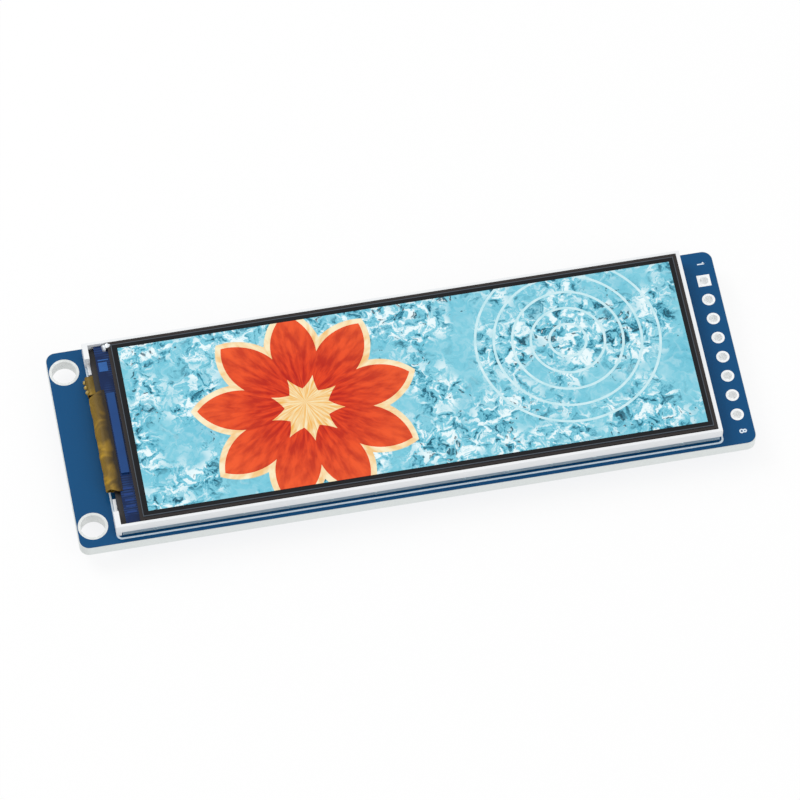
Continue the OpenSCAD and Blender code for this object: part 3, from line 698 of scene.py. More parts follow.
@dataclass(frozen=True)
class Polyimide(Finish):
    """Amber film over copper: a diagonal copper grid on the tail, dull patches on the fold.

    The pattern follows the attribute "flat", the place on the circuit laid out flat.

    Attributes:
        gap: colour where the copper is etched away.
        grid_mm: pitch of the diagonal grid.
        grid_from: distance along the circuit from which the grid runs.
        grid_half: how far the grid reaches to each side of the middle.
        wave_mm: spacing of the soft wave marks.
        blot_mm: spacing of the fold's patches.
        fold: colour of the fold's outer part.
        fold_patch: colour of the patches on it.
        bond_dark: a darker colour at the film's start, beside the bond.
        bond_dark_from: distance along the circuit from which that darker tone fades.
        bond_dark_fade: distance over which it fades.
        bond_dark_stray: how far its ragged end strays.
    """

    gap: str = "4a2c08"
    grid_mm: float = 0.34
    grid_from: float = 1000.0
    grid_half: float = 2.45
    wave_mm: float = 1.111
    blot_mm: float = 2.222
    fold: str = "8e7022"
    fold_patch: str = "c69c2b"
    bond_dark: str = "2b241c"
    bond_dark_from: float = 0.75
    bond_dark_fade: float = 1.6
    bond_dark_stray: float = 0.9

    def relief(self, tree: Tree, at: Socket) -> Socket:
        """Soft wave marks, close together, that cross the film's width.

        Args:
            tree: the node tree.
            at: the place on the piece, not used, since the marks follow "flat".

        Returns:
            The height, as a share of relief_mm.
        """
        flat = add(tree, "Attribute", out="Vector", attribute_name="flat")
        marks = {"Scale": 1 / self.wave_mm, "Detail": 2.0, "Distortion": 1.6}
        return add(tree, "TexNoise", {"Vector": flat, **marks})

    def grid(self, tree: Tree, flat: Socket) -> Socket:
        """Two crossed waves at 45 degrees, as wide as grid_half allows.

        Args:
            tree: the node tree.
            flat: the place on the flat circuit.

        Returns:
            Share of copper that is etched away, from 0 to 1.
        """
        y = add(tree, "SeparateXYZ", {0: flat}, out="Y")
        across = add(tree, "Math", {0: y}, operation="ABSOLUTE")
        turn = add(tree, "Mapping", {"Vector": flat, "Rotation": (0.0, 0.0, math.radians(45))})
        wave = {"Vector": turn, "Scale": BANDS / self.grid_mm}
        first, second = (add(tree, "TexWave", wave, out="Fac", bands_direction=axis) for axis in "XY")
        # the lines one way stand a little over the others, so they show more
        both = add(tree, "Math", {0: first, 1: second}, operation="MULTIPLY")
        holes = add(tree, "Math", {0: first, 1: 0.5, 2: both}, operation="MULTIPLY_ADD")
        holes = add(tree, "MapRange", {"Value": holes, "From Min": 0.45, "From Max": 1.0, "To Max": 0.95})
        inside = add(tree, "Math", {0: across, 1: self.grid_half}, operation="LESS_THAN")
        return add(tree, "Math", {0: holes, 1: inside}, operation="MULTIPLY")

    def bend(self, tree: Tree, flat: Socket) -> Socket:
        """The fold's dull amber with its patches, and a darker tone with a ragged end at the film's start.

        Args:
            tree: the node tree.
            flat: the place on the flat circuit.

        Returns:
            The colour of all that comes before the grid.
        """
        blots = {"Scale": 1 / self.blot_mm, "Detail": 2.0, "Distortion": 0.7}
        blot = add(tree, "TexNoise", {"Vector": flat, **blots})
        patch = add(tree, "MapRange", {"Value": blot, "From Min": 0.46, "From Max": 0.6})
        dull = add(tree, "Mix", {0: patch, LOW: self.fold, HIGH: self.fold_patch}, **COLOURS)
        along = add(tree, "SeparateXYZ", {0: flat}, out="X")
        end = add(tree, "Math", {0: blot, 1: self.bond_dark_stray, 2: along}, operation="MULTIPLY_ADD")
        gone = self.bond_dark_from + self.bond_dark_fade
        fade = {"From Min": self.bond_dark_from, "From Max": gone, "To Min": 1.0, "To Max": 0.0}
        under = add(tree, "MapRange", {"Value": end, **fade})
        return add(tree, "Mix", {0: under, LOW: dull, HIGH: self.bond_dark}, **COLOURS)

    def colour(self, tree: Tree, at: Socket) -> Socket:
        """The fold's own tones, then the etched grid over amber.

        Args:
            tree: the node tree.
            at: the place in millimetres.

        Returns:
            The colour.
        """
        flat = add(tree, "Attribute", out="Vector", attribute_name="flat")
        along = add(tree, "SeparateXYZ", {0: flat}, out="X")
        on_tail = add(tree, "Math", {0: along, 1: self.grid_from}, operation="GREATER_THAN")
        amber = super().colour(tree, at)
        holes = self.grid(tree, flat)
        tail = add(tree, "Mix", {0: holes, LOW: amber, HIGH: self.gap}, **COLOURS)
        fold = self.bend(tree, flat)
        return add(tree, "Mix", {0: on_tail, LOW: fold, HIGH: tail}, **COLOURS)


@dataclass(frozen=True)
class WaterField(Finish):
    """The lit picture's water: aqua broken up by soft light, with glassy drops in patches.

    Attributes:
        light: colour of the light on the water.
        deep_water: colour of the water's shaded side.
        dark: colour of the drops' shaded side.
        drop_mm: spacing of the drops.
        streak_mm: length of the streaks.
        net_mm: size of the net of light's meshes.
        broken_mm: spacing of the gaps in the net.
        swirl_mm: size of the swirls that bend the streaks.
        swirl_reach: how far they bend them.
        busy_mm: spacing of the busy and the calm parts.
        calm: share of the streaks that is left in the calm parts.
        patch_mm: spacing of the patches of drops.
    """

    light: str = "eefbfd"
    deep_water: str = "2b8aa6"
    dark: str = "0b4457"
    drop_mm: float = 0.8
    streak_mm: float = 0.95
    net_mm: float = 2.4
    broken_mm: float = 2.0
    swirl_mm: float = 1.667
    swirl_reach: float = 3.2
    busy_mm: float = 5.882
    calm: float = 0.12
    patch_mm: float = 7.692

    def net(self, tree: Tree, at: Socket) -> Socket:
        """Thin soft lines of light round meshes that are net_mm apart, faint and broken.

        Args:
            tree: the node tree.
            at: the place on the picture, bent by the swirls.

        Returns:
            Share of light, from 0 to 1.
        """
        cells = add(
            tree, "TexVoronoi", {"Vector": at, "Scale": 1 / self.net_mm}, feature="DISTANCE_TO_EDGE"
        )
        lines = add(
            tree,
            "MapRange",
            {"Value": cells, "From Max": 0.1, "To Min": 0.2, "To Max": 0.0},
            interpolation_type="SMOOTHSTEP",
        )
        gaps = add(tree, "TexNoise", {"Vector": at, "Scale": 1 / self.broken_mm, "Detail": 2.0})
        gaps = add(tree, "MapRange", {"Value": gaps, "From Min": 0.42, "From Max": 0.62})
        return add(tree, "Math", {0: lines, 1: gaps}, operation="MULTIPLY")

    def streaks(self, tree: Tree, at: Socket, bent: Socket, tone: Socket) -> Socket:
        """Lays bent streaks, light and dark, over the aqua, fewer where it is calm.

        Args:
            tree: the node tree.
            at: the place on the picture, in millimetres.
            bent: that place, bent by the swirls.
            tone: the colour so far.

        Returns:
            The new colour.
        """
        clouds = add(tree, "TexNoise", {"Vector": at, "Scale": 1 / self.busy_mm, "Detail": 3.0})
        busy = add(
            tree, "MapRange", {"Value": clouds, "From Min": 0.4, "From Max": 0.54, "To Min": self.calm}
        )
        fine = {"Scale": 1 / self.streak_mm, "Detail": 7.0, "Roughness": 0.62}
        level = add(tree, "TexNoise", {"Vector": bent, **fine})
        net = self.net(tree, bent)
        # the noise levels between which each colour comes in, and the most it covers
        for low, high, shade, most in (
            (0.505, 0.58, self.light, 0.95),
            (0.47, 0.4, self.deep_water, 0.9),
            (0.41, 0.35, self.dark, 0.9),
        ):
            part = add(tree, "MapRange", {"Value": level, "From Min": low, "From Max": high})
            part = add(tree, "Math", {0: part, 1: busy}, operation="MULTIPLY")
            if shade is self.light:
                part = add(tree, "Math", {0: part, 1: net}, operation="MAXIMUM")
            part = add(tree, "Math", {0: part, 1: most}, operation="MULTIPLY")
            tone = add(tree, "Mix", {0: part, LOW: tone, HIGH: shade}, **COLOURS)
        return tone

    def drops(self, tree: Tree, at: Socket, bent: Socket, tone: Socket) -> Socket:
        """Lays drops in patches over the water: small cells, dark with a light middle.

        Args:
            tree: the node tree.
            at: the place on the picture, in millimetres.
            bent: that place, bent by the swirls.
            tone: the colour so far.

        Returns:
            The new colour.
        """
        patch = add(tree, "TexNoise", {"Vector": at, "Scale": 1 / self.patch_mm, "Detail": 2.0})
        reach = add(tree, "MapRange", {"Value": patch, "From Min": 0.42, "From Max": 0.68, "To Max": 0.34})
        # the drop, then its light middle, which is moved a little and is smaller
        for shift, shade, strength in ((0.0, self.dark, 0.85), (0.07, self.light, 0.9)):
            moved = add(tree, "VectorMath", {0: bent, 1: (shift, shift, 0.0)})
            cells = add(tree, "TexVoronoi", {"Vector": moved, "Scale": 1 / self.drop_mm}, out="Distance")
            size = add(tree, "Math", {0: reach, 1: 1.0 - 8.0 * shift}, operation="MULTIPLY")
            inside = add(tree, "Math", {0: size, 1: cells}, operation="SUBTRACT")
            inside = add(tree, "MapRange", {"Value": inside, "From Max": 0.08, "To Max": strength})
            tone = add(tree, "Mix", {0: inside, LOW: tone, HIGH: shade}, **COLOURS)
        return tone

    def colour(self, tree: Tree, at: Socket) -> Socket:
        """The aqua's drift of tone, with the streaks and then the drops over it.

        Args:
            tree: the node tree.
            at: the place in millimetres.

        Returns:
            The colour.
        """
        swirl = {"Vector": at, "Scale": 1 / self.swirl_mm, "Detail": 4.0}
        warp = add(tree, "TexNoise", swirl, out="Color")
        reach = (self.swirl_reach, self.swirl_reach, 0.0)
        bent = add(tree, "VectorMath", {0: warp, 1: reach, 2: at}, operation="MULTIPLY_ADD")
        tone = self.streaks(tree, at, bent, super().colour(tree, at))
        return self.drops(tree, at, bent, tone)


@dataclass(frozen=True)
class PetalField(Finish):
    """The lit picture's petals: veins that run out from the flower's centre.

    Attributes:
        vein: colour of the veins.
        tip: colour at the petals' ends.
        centre: X and Y of the flower's centre.
        reach_mm: the flower's radius.
        veins: veins in a full turn.
        vein_mm: length over which a vein changes.
    """

    vein: str = "b81c08"
    tip: str = "fa6a34"
    centre: Pair = (0.0, 0.0)
    reach_mm: float = 13.0
    veins: float = 34.0
    vein_mm: float = 4.545

    def colour(self, tree: Tree, at: Socket) -> Socket:
        """Noise over (angle, distance), drawn out along the distance.

        Args:
            tree: the node tree.
            at: the place in millimetres.

        Returns:
            The colour.
        """
        arm = add(tree, "VectorMath", {0: at, 1: (*self.centre, 0.0)}, operation="SUBTRACT")
        x = add(tree, "SeparateXYZ", {0: arm}, out="X")
        y = x.node.outputs["Y"]
        turn = add(tree, "Math", {0: y, 1: x}, operation="ARCTAN2")
        flat = add(tree, "CombineXYZ", {0: x, 1: y})
        far = add(tree, "VectorMath", {0: flat}, out="Value", operation="LENGTH")
        turn = add(tree, "Math", {0: turn, 1: self.veins / math.tau}, operation="MULTIPLY")
        slow = add(tree, "Math", {0: far, 1: 1 / self.vein_mm}, operation="MULTIPLY")
        polar = add(tree, "CombineXYZ", {0: turn, 1: slow})
        streak = add(tree, "TexNoise", {"Vector": polar, "Scale": 2.0, "Detail": 6.0, "Distortion": 0.2})
        veins = add(tree, "MapRange", {"Value": streak, "From Min": 0.38, "From Max": 0.62})
        plain = super().colour(tree, at)
        body = add(tree, "Mix", {0: veins, LOW: self.vein, HIGH: plain}, **COLOURS)
        out = add(
            tree, "MapRange", {"Value": far, "From Min": self.reach_mm * 0.35, "From Max": self.reach_mm}
        )
        out = add(tree, "Math", {0: out, 1: streak}, operation="MULTIPLY")
        return add(tree, "Mix", {0: out, LOW: body, HIGH: self.tip}, **COLOURS)


# ---- sub-assemblies ------------------------------------------------------------


def corners(node: str) -> tuple[Array, Array]:
    """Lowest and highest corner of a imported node, in millimetres."""
    low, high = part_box(node)
    return np.array(low) * TO_MM, np.array(high) * TO_MM


def finish_nodes(finishes: dict[str, Finish]) -> None:
    """Gives each named node its own finish.

    Args:
        finishes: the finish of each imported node.
    """
    for node, finish in finishes.items():
        dress(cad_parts[node], finish.make())
        log.info("%s: %s", node, finish.name)


def stand_in(piece: bpy.types.Object, node: str, finish: Finish) -> None:
    """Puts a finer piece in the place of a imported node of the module, and dresses it.

    Args:
        piece: the finer piece.
        node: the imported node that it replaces.
        finish: its finish.
    """
    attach(piece, "module")
    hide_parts(node)
    dress(piece, finish.make())
    log.info("%s: %d faces of %s", piece.name, len(piece.data.polygons), finish.name)


@dataclass
class Board:
    """The printed board with its lacquer, plating and ink.

    Attributes:
        weave_mm: pitch of the glass cloth that shows through the lacquer.
    """

    weave_mm: float = 0.5

    def build(self) -> None:
        """Dresses the board's nodes."""
        slot = float(corners("main_flex")[1][0]), 0.0
        lacquer = dict(gloss=0.15, relief_mm=0.003, weave_mm=self.weave_mm)
        finish_nodes({
            # bare laminate shows only at the routed edge: pale, dry and striped, with painted shade in the
            # slot
            "circuit_board": Laminate(
                "glass_fibre_laminate", "eaeeed", "c8d0cf", roughness=0.75, relief_mm=0.01, slot=slot
            ),
            # lacquer pulls flat but keeps a faint ripple, so its shine is broken up
            "front_solder_mask": SolderMask(
                "blue_solder_mask_front", "0e5080", "0b4a79", 9.0, 0.3, grain_mm=0.3, **lacquer
            ),
            "back_solder_mask": SolderMask(
                "blue_solder_mask_back", "065186", "044b7d", 9.0, 0.3, grain_mm=0.3, **lacquer
            ),
            # over copper it is a little darker, with painted shade along each track's sloped edges
            "back_tracks": TrackMask(
                "blue_solder_mask_over_copper", "06477a", "04406c", 4.0, 0.25, grain_mm=0.2, **lacquer
            ),
            # hot tin levelled by air: bright, with soft humps
            "mount_hole_rings": Finish(
                "levelled_tin_on_copper", "e4e6e4", "c6cac9", 1.2, 0.35, 0.6, grain_mm=0.5, relief_mm=0.02
            ),
            # tin on the header pads, painted near white and barely metallic: painted light that keeps the
            # pads and their hole walls bright
            "header_pads": Finish(
                "tin_on_pads_painted_light", "fcfdfd", "f2f4f4", 0.8, 0.4, 0.15, grain_mm=0.4, relief_mm=0.02
            ),
            # screen-printed epoxy ink: matt and a little porous
            "front_marking": Finish(
                "white_legend_ink_front", "eef7fd", "d3e6f5", 0.6, 0.65, grain_mm=0.07
            ),
            "back_marking": Finish("white_legend_ink_back", "fcfdfe", "eef4fa", 0.6, 0.65, grain_mm=0.07),
        })


@dataclass
class DisplayUnit:
    """The glass cell, its films, the backlight stack and the frame round them."""

    def build(self) -> None:
        """Dresses the unit's nodes."""
        film_low, film_high = corners("front_polariser")
        petals_low, petals_high = corners("image_petals")
        middle = (petals_low + petals_high) / 2
        flower = dict(centre=tuple(middle[:2]), reach_mm=float((petals_high - petals_low)[0] / 2))
        screen = dict(roughness=0.16, gloss=0.22, grain_mm=0.5, relief_mm=0.0004)
        glass = dict(gloss=0.2, relief_mm=0.0003)
        finish_nodes({
            # closed-cell foam, cut with a knife: dead black and rough
            "foam_tape": Finish(
                "black_acrylic_foam", "17191c", "0c0d0f", 0.4, 0.95, grain_mm=0.1, relief_mm=0.03
            ),
            # bright rolled steel, with a shine that is drawn out along the rolling
            "steel_tray": RolledSheet("rolled_stainless_sheet", "c9d6db", "b3c1c7", 5.0, 0.32, 0.85),
            # glass-filled white resin, satin from the mould
            "light_frame": Finish("white_polycarbonate", "f4f5f6", "e6e9ec", 4.0, 0.38, relief_mm=0.003),
            # the stack of films and its plate, of which only the edges can show
            "reflector_sheet": Finish("white_reflector_film", "f1f2f2", "e2e5e6"),
            "light_guide": Finish("clear_acrylic_plate", "dfeaee", "cfdfe5", roughness=0.1),
            "diffuser_sheet": Finish("white_diffuser_film", "f5f5f5", "e9ebec"),
            "prism_sheet": Finish("prism_film", "e3e8ea", "d0d9dd", roughness=0.25),
            # lamps filled with pale yellow resin
            "backlight_leds": Finish("white_side_lamps", "f4efcf", "e8dfae", 0.8, 0.35, coat=0.3),
            # solder humps that shine golden through the amber film
            "backlight_solder": Finish(
                "solder_under_amber_film", "c2a23c", "86701f", 0.4, 0.3,
                grain_mm=0.3, relief_mm=0.02, coat=0.5,
            ),
            "rim_tape": Finish("black_shading_tape", "211c1c", "151213", 1.5, 0.55),
            "rear_polariser": Finish("grey_polarising_film", "353a40", "2a2e33"),
            # polished glass: near black, with blue where thin metal lies on it
            "tft_glass": ContactGlass("thin_film_glass", "0b2a5c", "091d3f", 2.5, 0.1, **glass),
            "filter_glass": Finish("black_masked_glass", "35302f", "2a2625", 3.0, 0.12, **glass),
            # hard-coated film with little mirror shine, so its border stays black
            "front_polariser": Film(
                "hard_coated_polariser", "0c0e13", "08090d", 6.0,
                low=tuple(film_low[:2]), high=tuple(film_high[:2]), **screen,
            ),
            # the lit picture under that film: even colours with the film's faint shine
            "image_water": WaterField("lit_picture_water", "90d5e4", "5cbbd3", 4.0, **screen),
            "image_ripples": Finish("lit_picture_ripples", "e9f8fb", "9fdbe6", 1.3, **screen),
            "image_petals": PetalField("lit_picture_petals", "ea4a1c", "dc3410", 2.0, **flower, **screen),
            "image_rims": PetalField(
                "lit_picture_rims", "f9ecc8", "f6dfa6", 0.9,
                vein="f0b45a", tip="fbf1d2", **flower, **screen,
            ),
            # sputtered metal, mirror-flat, seen blue through its own thin coat
            "glass_circuit": ThinMetal(
                "thin_metal_on_glass", "3268ad", "27508c", 0.8, 0.25, 0.6, middle=float(middle[1])
            ),
            # back of the die, ground and polished
            "driver_chip": Finish(
                "polished_silicon_die", "1d4a85", "163c74", 3.0, 0.2, 0.3, gloss=0.3, relief_mm=0.0005
            ),
        })


@dataclass
class PasteDots:
    """Silver paste that joins the upper glass to the ledge, as two soft blobs.

    Attributes:
        rows: corners from the foot to the top of a blob.
        ring: corners round a blob.
        ledge_size: half length and half width of the blob on the ledge.
        glass_size: half length and half width of the blob on the upper glass.
        sag: height of the ledge's blob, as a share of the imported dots'.
    """

    rows: int = 14
    ring: int = 28
    ledge_size: Pair = (0.36, 0.42)
    glass_size: Pair = (0.3, 0.3)
    sag: float = 0.9

    def blob(self, centre: Array, size: Array, turn: float, first: int) -> tuple[Array, Faces]:
        """One blob: an upright dome whose outline is wavy.

        At angle a and height share t the corner is the centre plus the size times
        (r cos a, r sin a, sin(t 90)), with
        r = cos(t 90) (1 + 0.12 sin(3a + turn) + 0.07 cos(5a - turn)).

        Args:
            centre: middle of the blob's foot.
            size: its half length, half width and height.
            turn: turns the waves, in radians.
            first: number of its first corner.

        Returns:
            Corner places and faces.
        """
        t = np.linspace(0, 0.98, self.rows)[:, None] * math.pi / 2
        a = np.linspace(0, math.tau, self.ring, endpoint=False)[None, :]
        wave = 1 + 0.12 * np.sin(3 * a + turn) + 0.07 * np.cos(5 * a - turn)
        points = np.stack(
            [np.cos(t) * np.cos(a) * wave, np.cos(t) * np.sin(a) * wave, np.sin(t) + 0 * a], axis=-1
        )
        return ((centre + points * size).reshape(-1, 3), tube_faces(self.rows, self.ring, first))

    def build(self) -> None:
        """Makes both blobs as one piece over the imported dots, and dresses it."""
        low, high = corners("silver_paste")
        glass = corners("filter_glass")[1][2]
        span = high - low
        # each blob's middle is given in shares of the span of both
        first, first_faces = self.blob(
            np.array([low[0] + 0.3 * span[0], high[1] - 0.5 * span[1], low[2]]),
            np.array([*self.ledge_size, span[2] * self.sag]), 0.4, 0,
        )
        second, second_faces = self.blob(
            np.array([high[0] - 0.32 * span[0], high[1] - 0.42 * span[1], glass]),
            np.array([*self.glass_size, high[2] - glass]), 1.7, len(first),
        )
        piece = mesh_piece("paste_dots", np.concatenate([first, second]), first_faces + second_faces)
        stand_in(
            piece,
            "silver_paste",
            # dried silver paste: pale metal, matt from its grain
            Finish("silver_paste", "eef1f4", "c9d1d8", 0.3, 0.4, 0.7, grain_mm=0.08, relief_mm=0.02),
        )


@dataclass
class FlexibleCircuit:
    """The folded circuit from the glass ledge to the connector, as one smooth film.

    Distances along the film are counted from its start on the ledge.

    Attributes:
        thick: thickness of the film.
        bond: from the ledge's end to the start of the film.
        fold_x: from the display unit's end to the fold's middle.
        run_z: height of the film's middle over the board's front, under the unit.
        wide_end: from the display unit's end to the start of the taper.
        taper: length of the taper.
        tail: width of the tail.
        bend: radius of the bend into the slot.
        straight: how far the tail drops straight past the board's back.
        arch: height of the tail's arch over the board's back.
        steep: share of that height that the tail still heads straight for.
        lean: from the slot to where the tail first turns level, where it lies level, and
            what it heads for from there.
        landing: from the connector's mouth to what the tail comes down on, and to where
            it lies flat.
        tongue: from the connector's far side to the tail's end.
        seat: height of the tail's middle over the board's back in the connector.
        waist: how far each side is cut back round the outside of the fold.
        draw_in: where the sides start to draw in, and over what length.
        draw_out: where they come out again, and over what length.
        turn_under: where the near end is cut back further, and over what length.
        crease: height of the film's dents round the fold.
        crease_run: where the dents start, and over what length they run.
        step: distance between corners along the film.
        across: corners over the film's width.
    """

    thick: float = 0.12
    bond: float = 0.3
    fold_x: float = 0.72
    run_z: float = 0.18
    wide_end: float = 10.6
    taper: float = 4.0
    tail: float = 5.5
    bend: float = 0.35
    straight: float = 0.2
    arch: float = 1.78
    steep: float = 0.86
    lean: tuple[float, float, float] = (1.9, 3.9, 6.4)
    landing: Pair = (3.35, 1.35)
    tongue: float = 0.75
    seat: float = 0.68
    waist: float = 0.5
    draw_in: Pair = (0.3, 1.3)
    draw_out: Pair = (5.0, 3.0)
    turn_under: Pair = (1.9, 1.4)
    crease: float = 0.035
    crease_run: Pair = (0.7, 2.9)
    step: float = 0.12
    across: int = 41

    def path(self) -> tuple[Array, float, float]:
        """The film's middle line, and how far along it the taper and the tail start.

        Returns:
            Points (x, z), the distance to the taper's start and to its end.
        """
        glass_low, glass_high = corners("tft_glass")
        housing_low, housing_high = corners("connector_housing")
        unit_end = corners("light_frame")[0][0]
        front = corners("front_solder_mask")[1][2]
        back = corners("back_solder_mask")[0][2]
        top = glass_high[2] + self.thick / 2
        low = front + self.run_z
        radius = (top - low) / 2
        drop = corners("main_flex")[1][0] - self.thick / 2
        # the arch springs a hair past the drop, and leans away from the slot
        spring = drop + 0.03
        turned, level, ahead = (spring - x for x in self.lean)
        down, flat = (housing_high[0] + x for x in self.landing)
        under, seat = back - self.arch, back - self.seat
        start = unit_end + self.wide_end
        first = np.concatenate(
            [
                [[glass_low[0] + self.bond, top]],
                arc((unit_end + self.fold_x, top - radius), radius, 90, 270, 60),
                [[start, low]],
            ]
        )
        exit_ = drop, back - self.straight
        rest = np.concatenate(
            [
                [[start + self.taper, low]],
                arc((drop - self.bend, low - self.bend), self.bend, 90, 0, 16),
                [exit_],
                bezier(exit_, (drop, back - self.arch * self.steep), (turned, under), (level, under), 40),
                bezier((level, under), (ahead, under), (down, seat), (flat, seat), 40),
                [[housing_low[0] + self.tongue, seat]],
            ]
        )
        wide = run_of(first)[-1]
        return even(np.concatenate([first, rest]), self.step), wide, wide + self.taper

    def sides(self, run: Array, wide: float, narrow: float) -> tuple[Array, Array]:
        """The film's two sides: wide with a waist round the fold, then down to the tail.

        The sides draw in after the bond and come out again well under the unit, each by a
        smooth step t^2 (3 - 2t). The near one is cut back further where the film has turned
        under.

        Args:
            run: distances along the film.
            wide: distance to the start of the taper.
            narrow: distance to its end.

        Returns:
            The lower and the upper Y at each distance.
        """
        low, high = corners("main_flex")
        share = np.clip((run - wide) / (narrow - wide), 0, 1)
        start, end, under = (
            np.clip((run - place) / length, 0, 1)
            for place, length in (self.draw_in, self.draw_out, self.turn_under)
        )
        cut = self.waist * (start**2 * (3 - 2 * start) - end**2 * (3 - 2 * end))
        near = low[1] + cut + self.waist * (under - end)
        left = near * (1 - share) - self.tail / 2 * share
        right = (high[1] - cut) * (1 - share) + self.tail / 2 * share
        return left, right

    def dents(self, points: Array, flat: Array) -> Array:
        """Shallow dents in the fold, as X moves of its corners.

        At distance s along the film and y across it the move is crease times the sum of
        sin(1.9y + 1.3s), sin(4.3y - 2.1s) / 2 and sin(7.1y + 3.0s) / 4, faded in and out
        along crease_run.

        Args:
            points: the film's corners.
            flat: each corner's distance along and across the film.

        Returns:
            Moves of the corners, one row each.
        """
        s, y = flat[:, 0], flat[:, 1]
        place, length = self.crease_run
        fade = np.sin(math.pi * np.clip((s - place) / length, 0, 1)) ** 2
        wave = np.sin(1.9 * y + 1.3 * s) + np.sin(4.3 * y - 2.1 * s) / 2
        wave += np.sin(7.1 * y + 3.0 * s) / 4
        moves = np.zeros_like(points)
        moves[:, 0] = self.crease * fade * wave
        return moves

    def build(self) -> None:
        """Carries the film along its path and dresses it."""
        path, wide, narrow = self.path()
        left, right = self.sides(run_of(path), wide, narrow)
        points, faces, flat = band(path, left, right, self.thick, self.across)
        points += self.dents(points, flat)
        stand_in(
            mesh_piece("flex_film", points, faces, flat),
            "main_flex",
            # cover film over rolled copper: amber gloss, dark where copper is etched away
            Polyimide(
                "amber_polyimide_on_copper", "cf9c3c", "bf8a30", 2.2, 0.5, 0.1,
                gloss=0.2, relief_mm=0.08, grid_from=narrow + 2.0,
            ),
        )


@dataclass
class LampStrip:
    """The small flexible circuit of the lamps, which dips to the board in a wavy tail.

    Attributes:
        thick: thickness of the film.
        tail_y: from the main circuit's far side to the tail's two sides.
        tail_top: length of the tail's flat part over its bend.
        tail_foot: length of its flat part on the board.
        overlap: from the bend to the start of the strip over the lamps.
        strip_end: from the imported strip's end to the end of this one.
        sway: depth of the waves along the tail's edge.
        waves: how fast they follow each other, in radians for a millimetre.
    """

    thick: float = 0.12
    tail_y: Pair = (0.15, 2.5)
    tail_top: float = 1.0
    tail_foot: float = 3.0
    overlap: float = 0.6
    strip_end: float = 1.2
    sway: float = 0.06
    waves: float = 5.0

    def build(self) -> None:
        """Carries the tail round its fold, and joins the flat strip over the lamps."""
        low, high = corners("backlight_flex")
        beside = corners("main_flex")[1][1]
        half = self.thick / 2
        top, foot = high[2] - half, low[2] + half
        radius = (top - foot) / 2
        bend = low[0] + radius + half
        path = even(
            np.concatenate(
                [
                    [[bend + self.tail_top, top]],
                    arc((bend, top - radius), radius, 90, 270, 40),
                    [[bend + self.tail_foot, foot]],
                ]
            ),
            0.1,
        )
        wave = self.sway * np.sin(run_of(path) * self.waves)
        near, far = (beside + y + wave for y in self.tail_y)
        points, faces, flat = band(path, near, far, self.thick, 9)
        strip = np.array([[bend + self.overlap, top], [high[0] - self.strip_end, top]])
        strip = even(strip, 0.5)
        reach = np.full(len(strip), low[1]), np.full(len(strip), high[1])
        more, sides, place = band(strip, *reach, self.thick, 21)
        sides = [[c + len(points) for c in f] for f in sides]
        stand_in(
            mesh_piece(
                "lamp_strip", np.concatenate([points, more]), faces + sides, np.concatenate([flat, place])
            ),
            "backlight_flex",
            # the same film with no copper grid, olive over the white below it
            Polyimide(
                "amber_polyimide_strip", "a08426", "7d6620", 0.7, 0.45, 0.1,
                gloss=0.2, relief_mm=0.06, fold="6f5a22", fold_patch="96782c",
                bond_dark_from=-9.0,
            ),
        )


@dataclass
class Connector:
    """The flip-latch connector and the stiffened tongue in it."""

    def build(self) -> None:
        """Dresses the connector's nodes."""
        finish_nodes({
            # glass-filled liquid-crystal resin, satin with a faint flow grain
            "connector_housing": Finish("ivory_connector_resin", "f4f5f2", "e9ebe8", 2.0, 0.45),
            "connector_latch": Finish(
                "dark_connector_resin", "464c53", "3e444b", 1.5, 0.5, gloss=0.3, relief_mm=0.006
            ),
            # stamped spring bronze under pale, slightly cloudy tin
            "connector_contacts": Finish("tinned_phosphor_bronze", "f2f4f5", "dfe3e6", 0.5, 0.35, 0.5),
            "connector_nails": Finish("tinned_brass_nail", "e9eef1", "cfd6db", 0.5, 0.35, 0.6),
            # thick brown film, satin
            "flex_stiffener": Finish("dark_polyimide_stiffener", "3d2b1f", "2e2018", 1.2, 0.45, gloss=0.3),
        })


@dataclass
class SmallParts:
    """The packages, chips and solder on the board's back."""

    def build(self) -> None:
        """Dresses the small parts' nodes."""
        # epoxy packages: black, matt from a spark-eroded mould
        epoxy = dict(drift_mm=0.8, gloss=0.4, grain_mm=0.06, relief_mm=0.008)
        # dipped tin: bright in soft humps, so its shine is in spots
        tinned = "e6e9ea", "b3b8bc"
        tin = dict(drift_mm=0.35, roughness=0.28, metallic=0.75, grain_mm=0.25, relief_mm=0.03)
        finish_nodes({
            "regulator_body": Finish("black_epoxy_regulator", "303338", "27292d", **epoxy),
            "transistor_body": Finish("black_epoxy_transistor", "2b2d31", "222428", **epoxy),
            "diode_body": Finish("black_epoxy_diode", "303230", "262826", **epoxy),
            "regulator_leads": Finish("tinned_copper_lead", *tinned, **tin),
            "transistor_leads": Finish("tinned_alloy_lead", *tinned, **tin),
            "diode_leads": Finish("tinned_alloy_foot", *tinned, **tin),
            # dark overglaze on a fired ceramic chip
            "resistors": Finish("glazed_resistor_chip", "3b3c3e", "2c2d2f", 0.5, 0.3, coat=0.4),
            # tan ceramic, dry from the kiln
            "capacitors": Finish("tan_fired_ceramic", "a8906f", "8f7657", 0.5, relief_mm=0.006),
            "resistor_ends": Finish("tinned_resistor_end", *tinned, **tin),
            "capacitor_ends": Finish("tinned_capacitor_end", *tinned, **tin),
            # reflowed solder: bright, with a faint frost
            "solder_joints": Finish("reflowed_solder", "f3f5f4", "d5dadb", **tin),
        })


@dataclass(frozen=True)
class Number:
    """One printed digit: its middle as seen from its side, and its height."""

    digit: int
    x: float
    y: float
    tall: float = 1.1


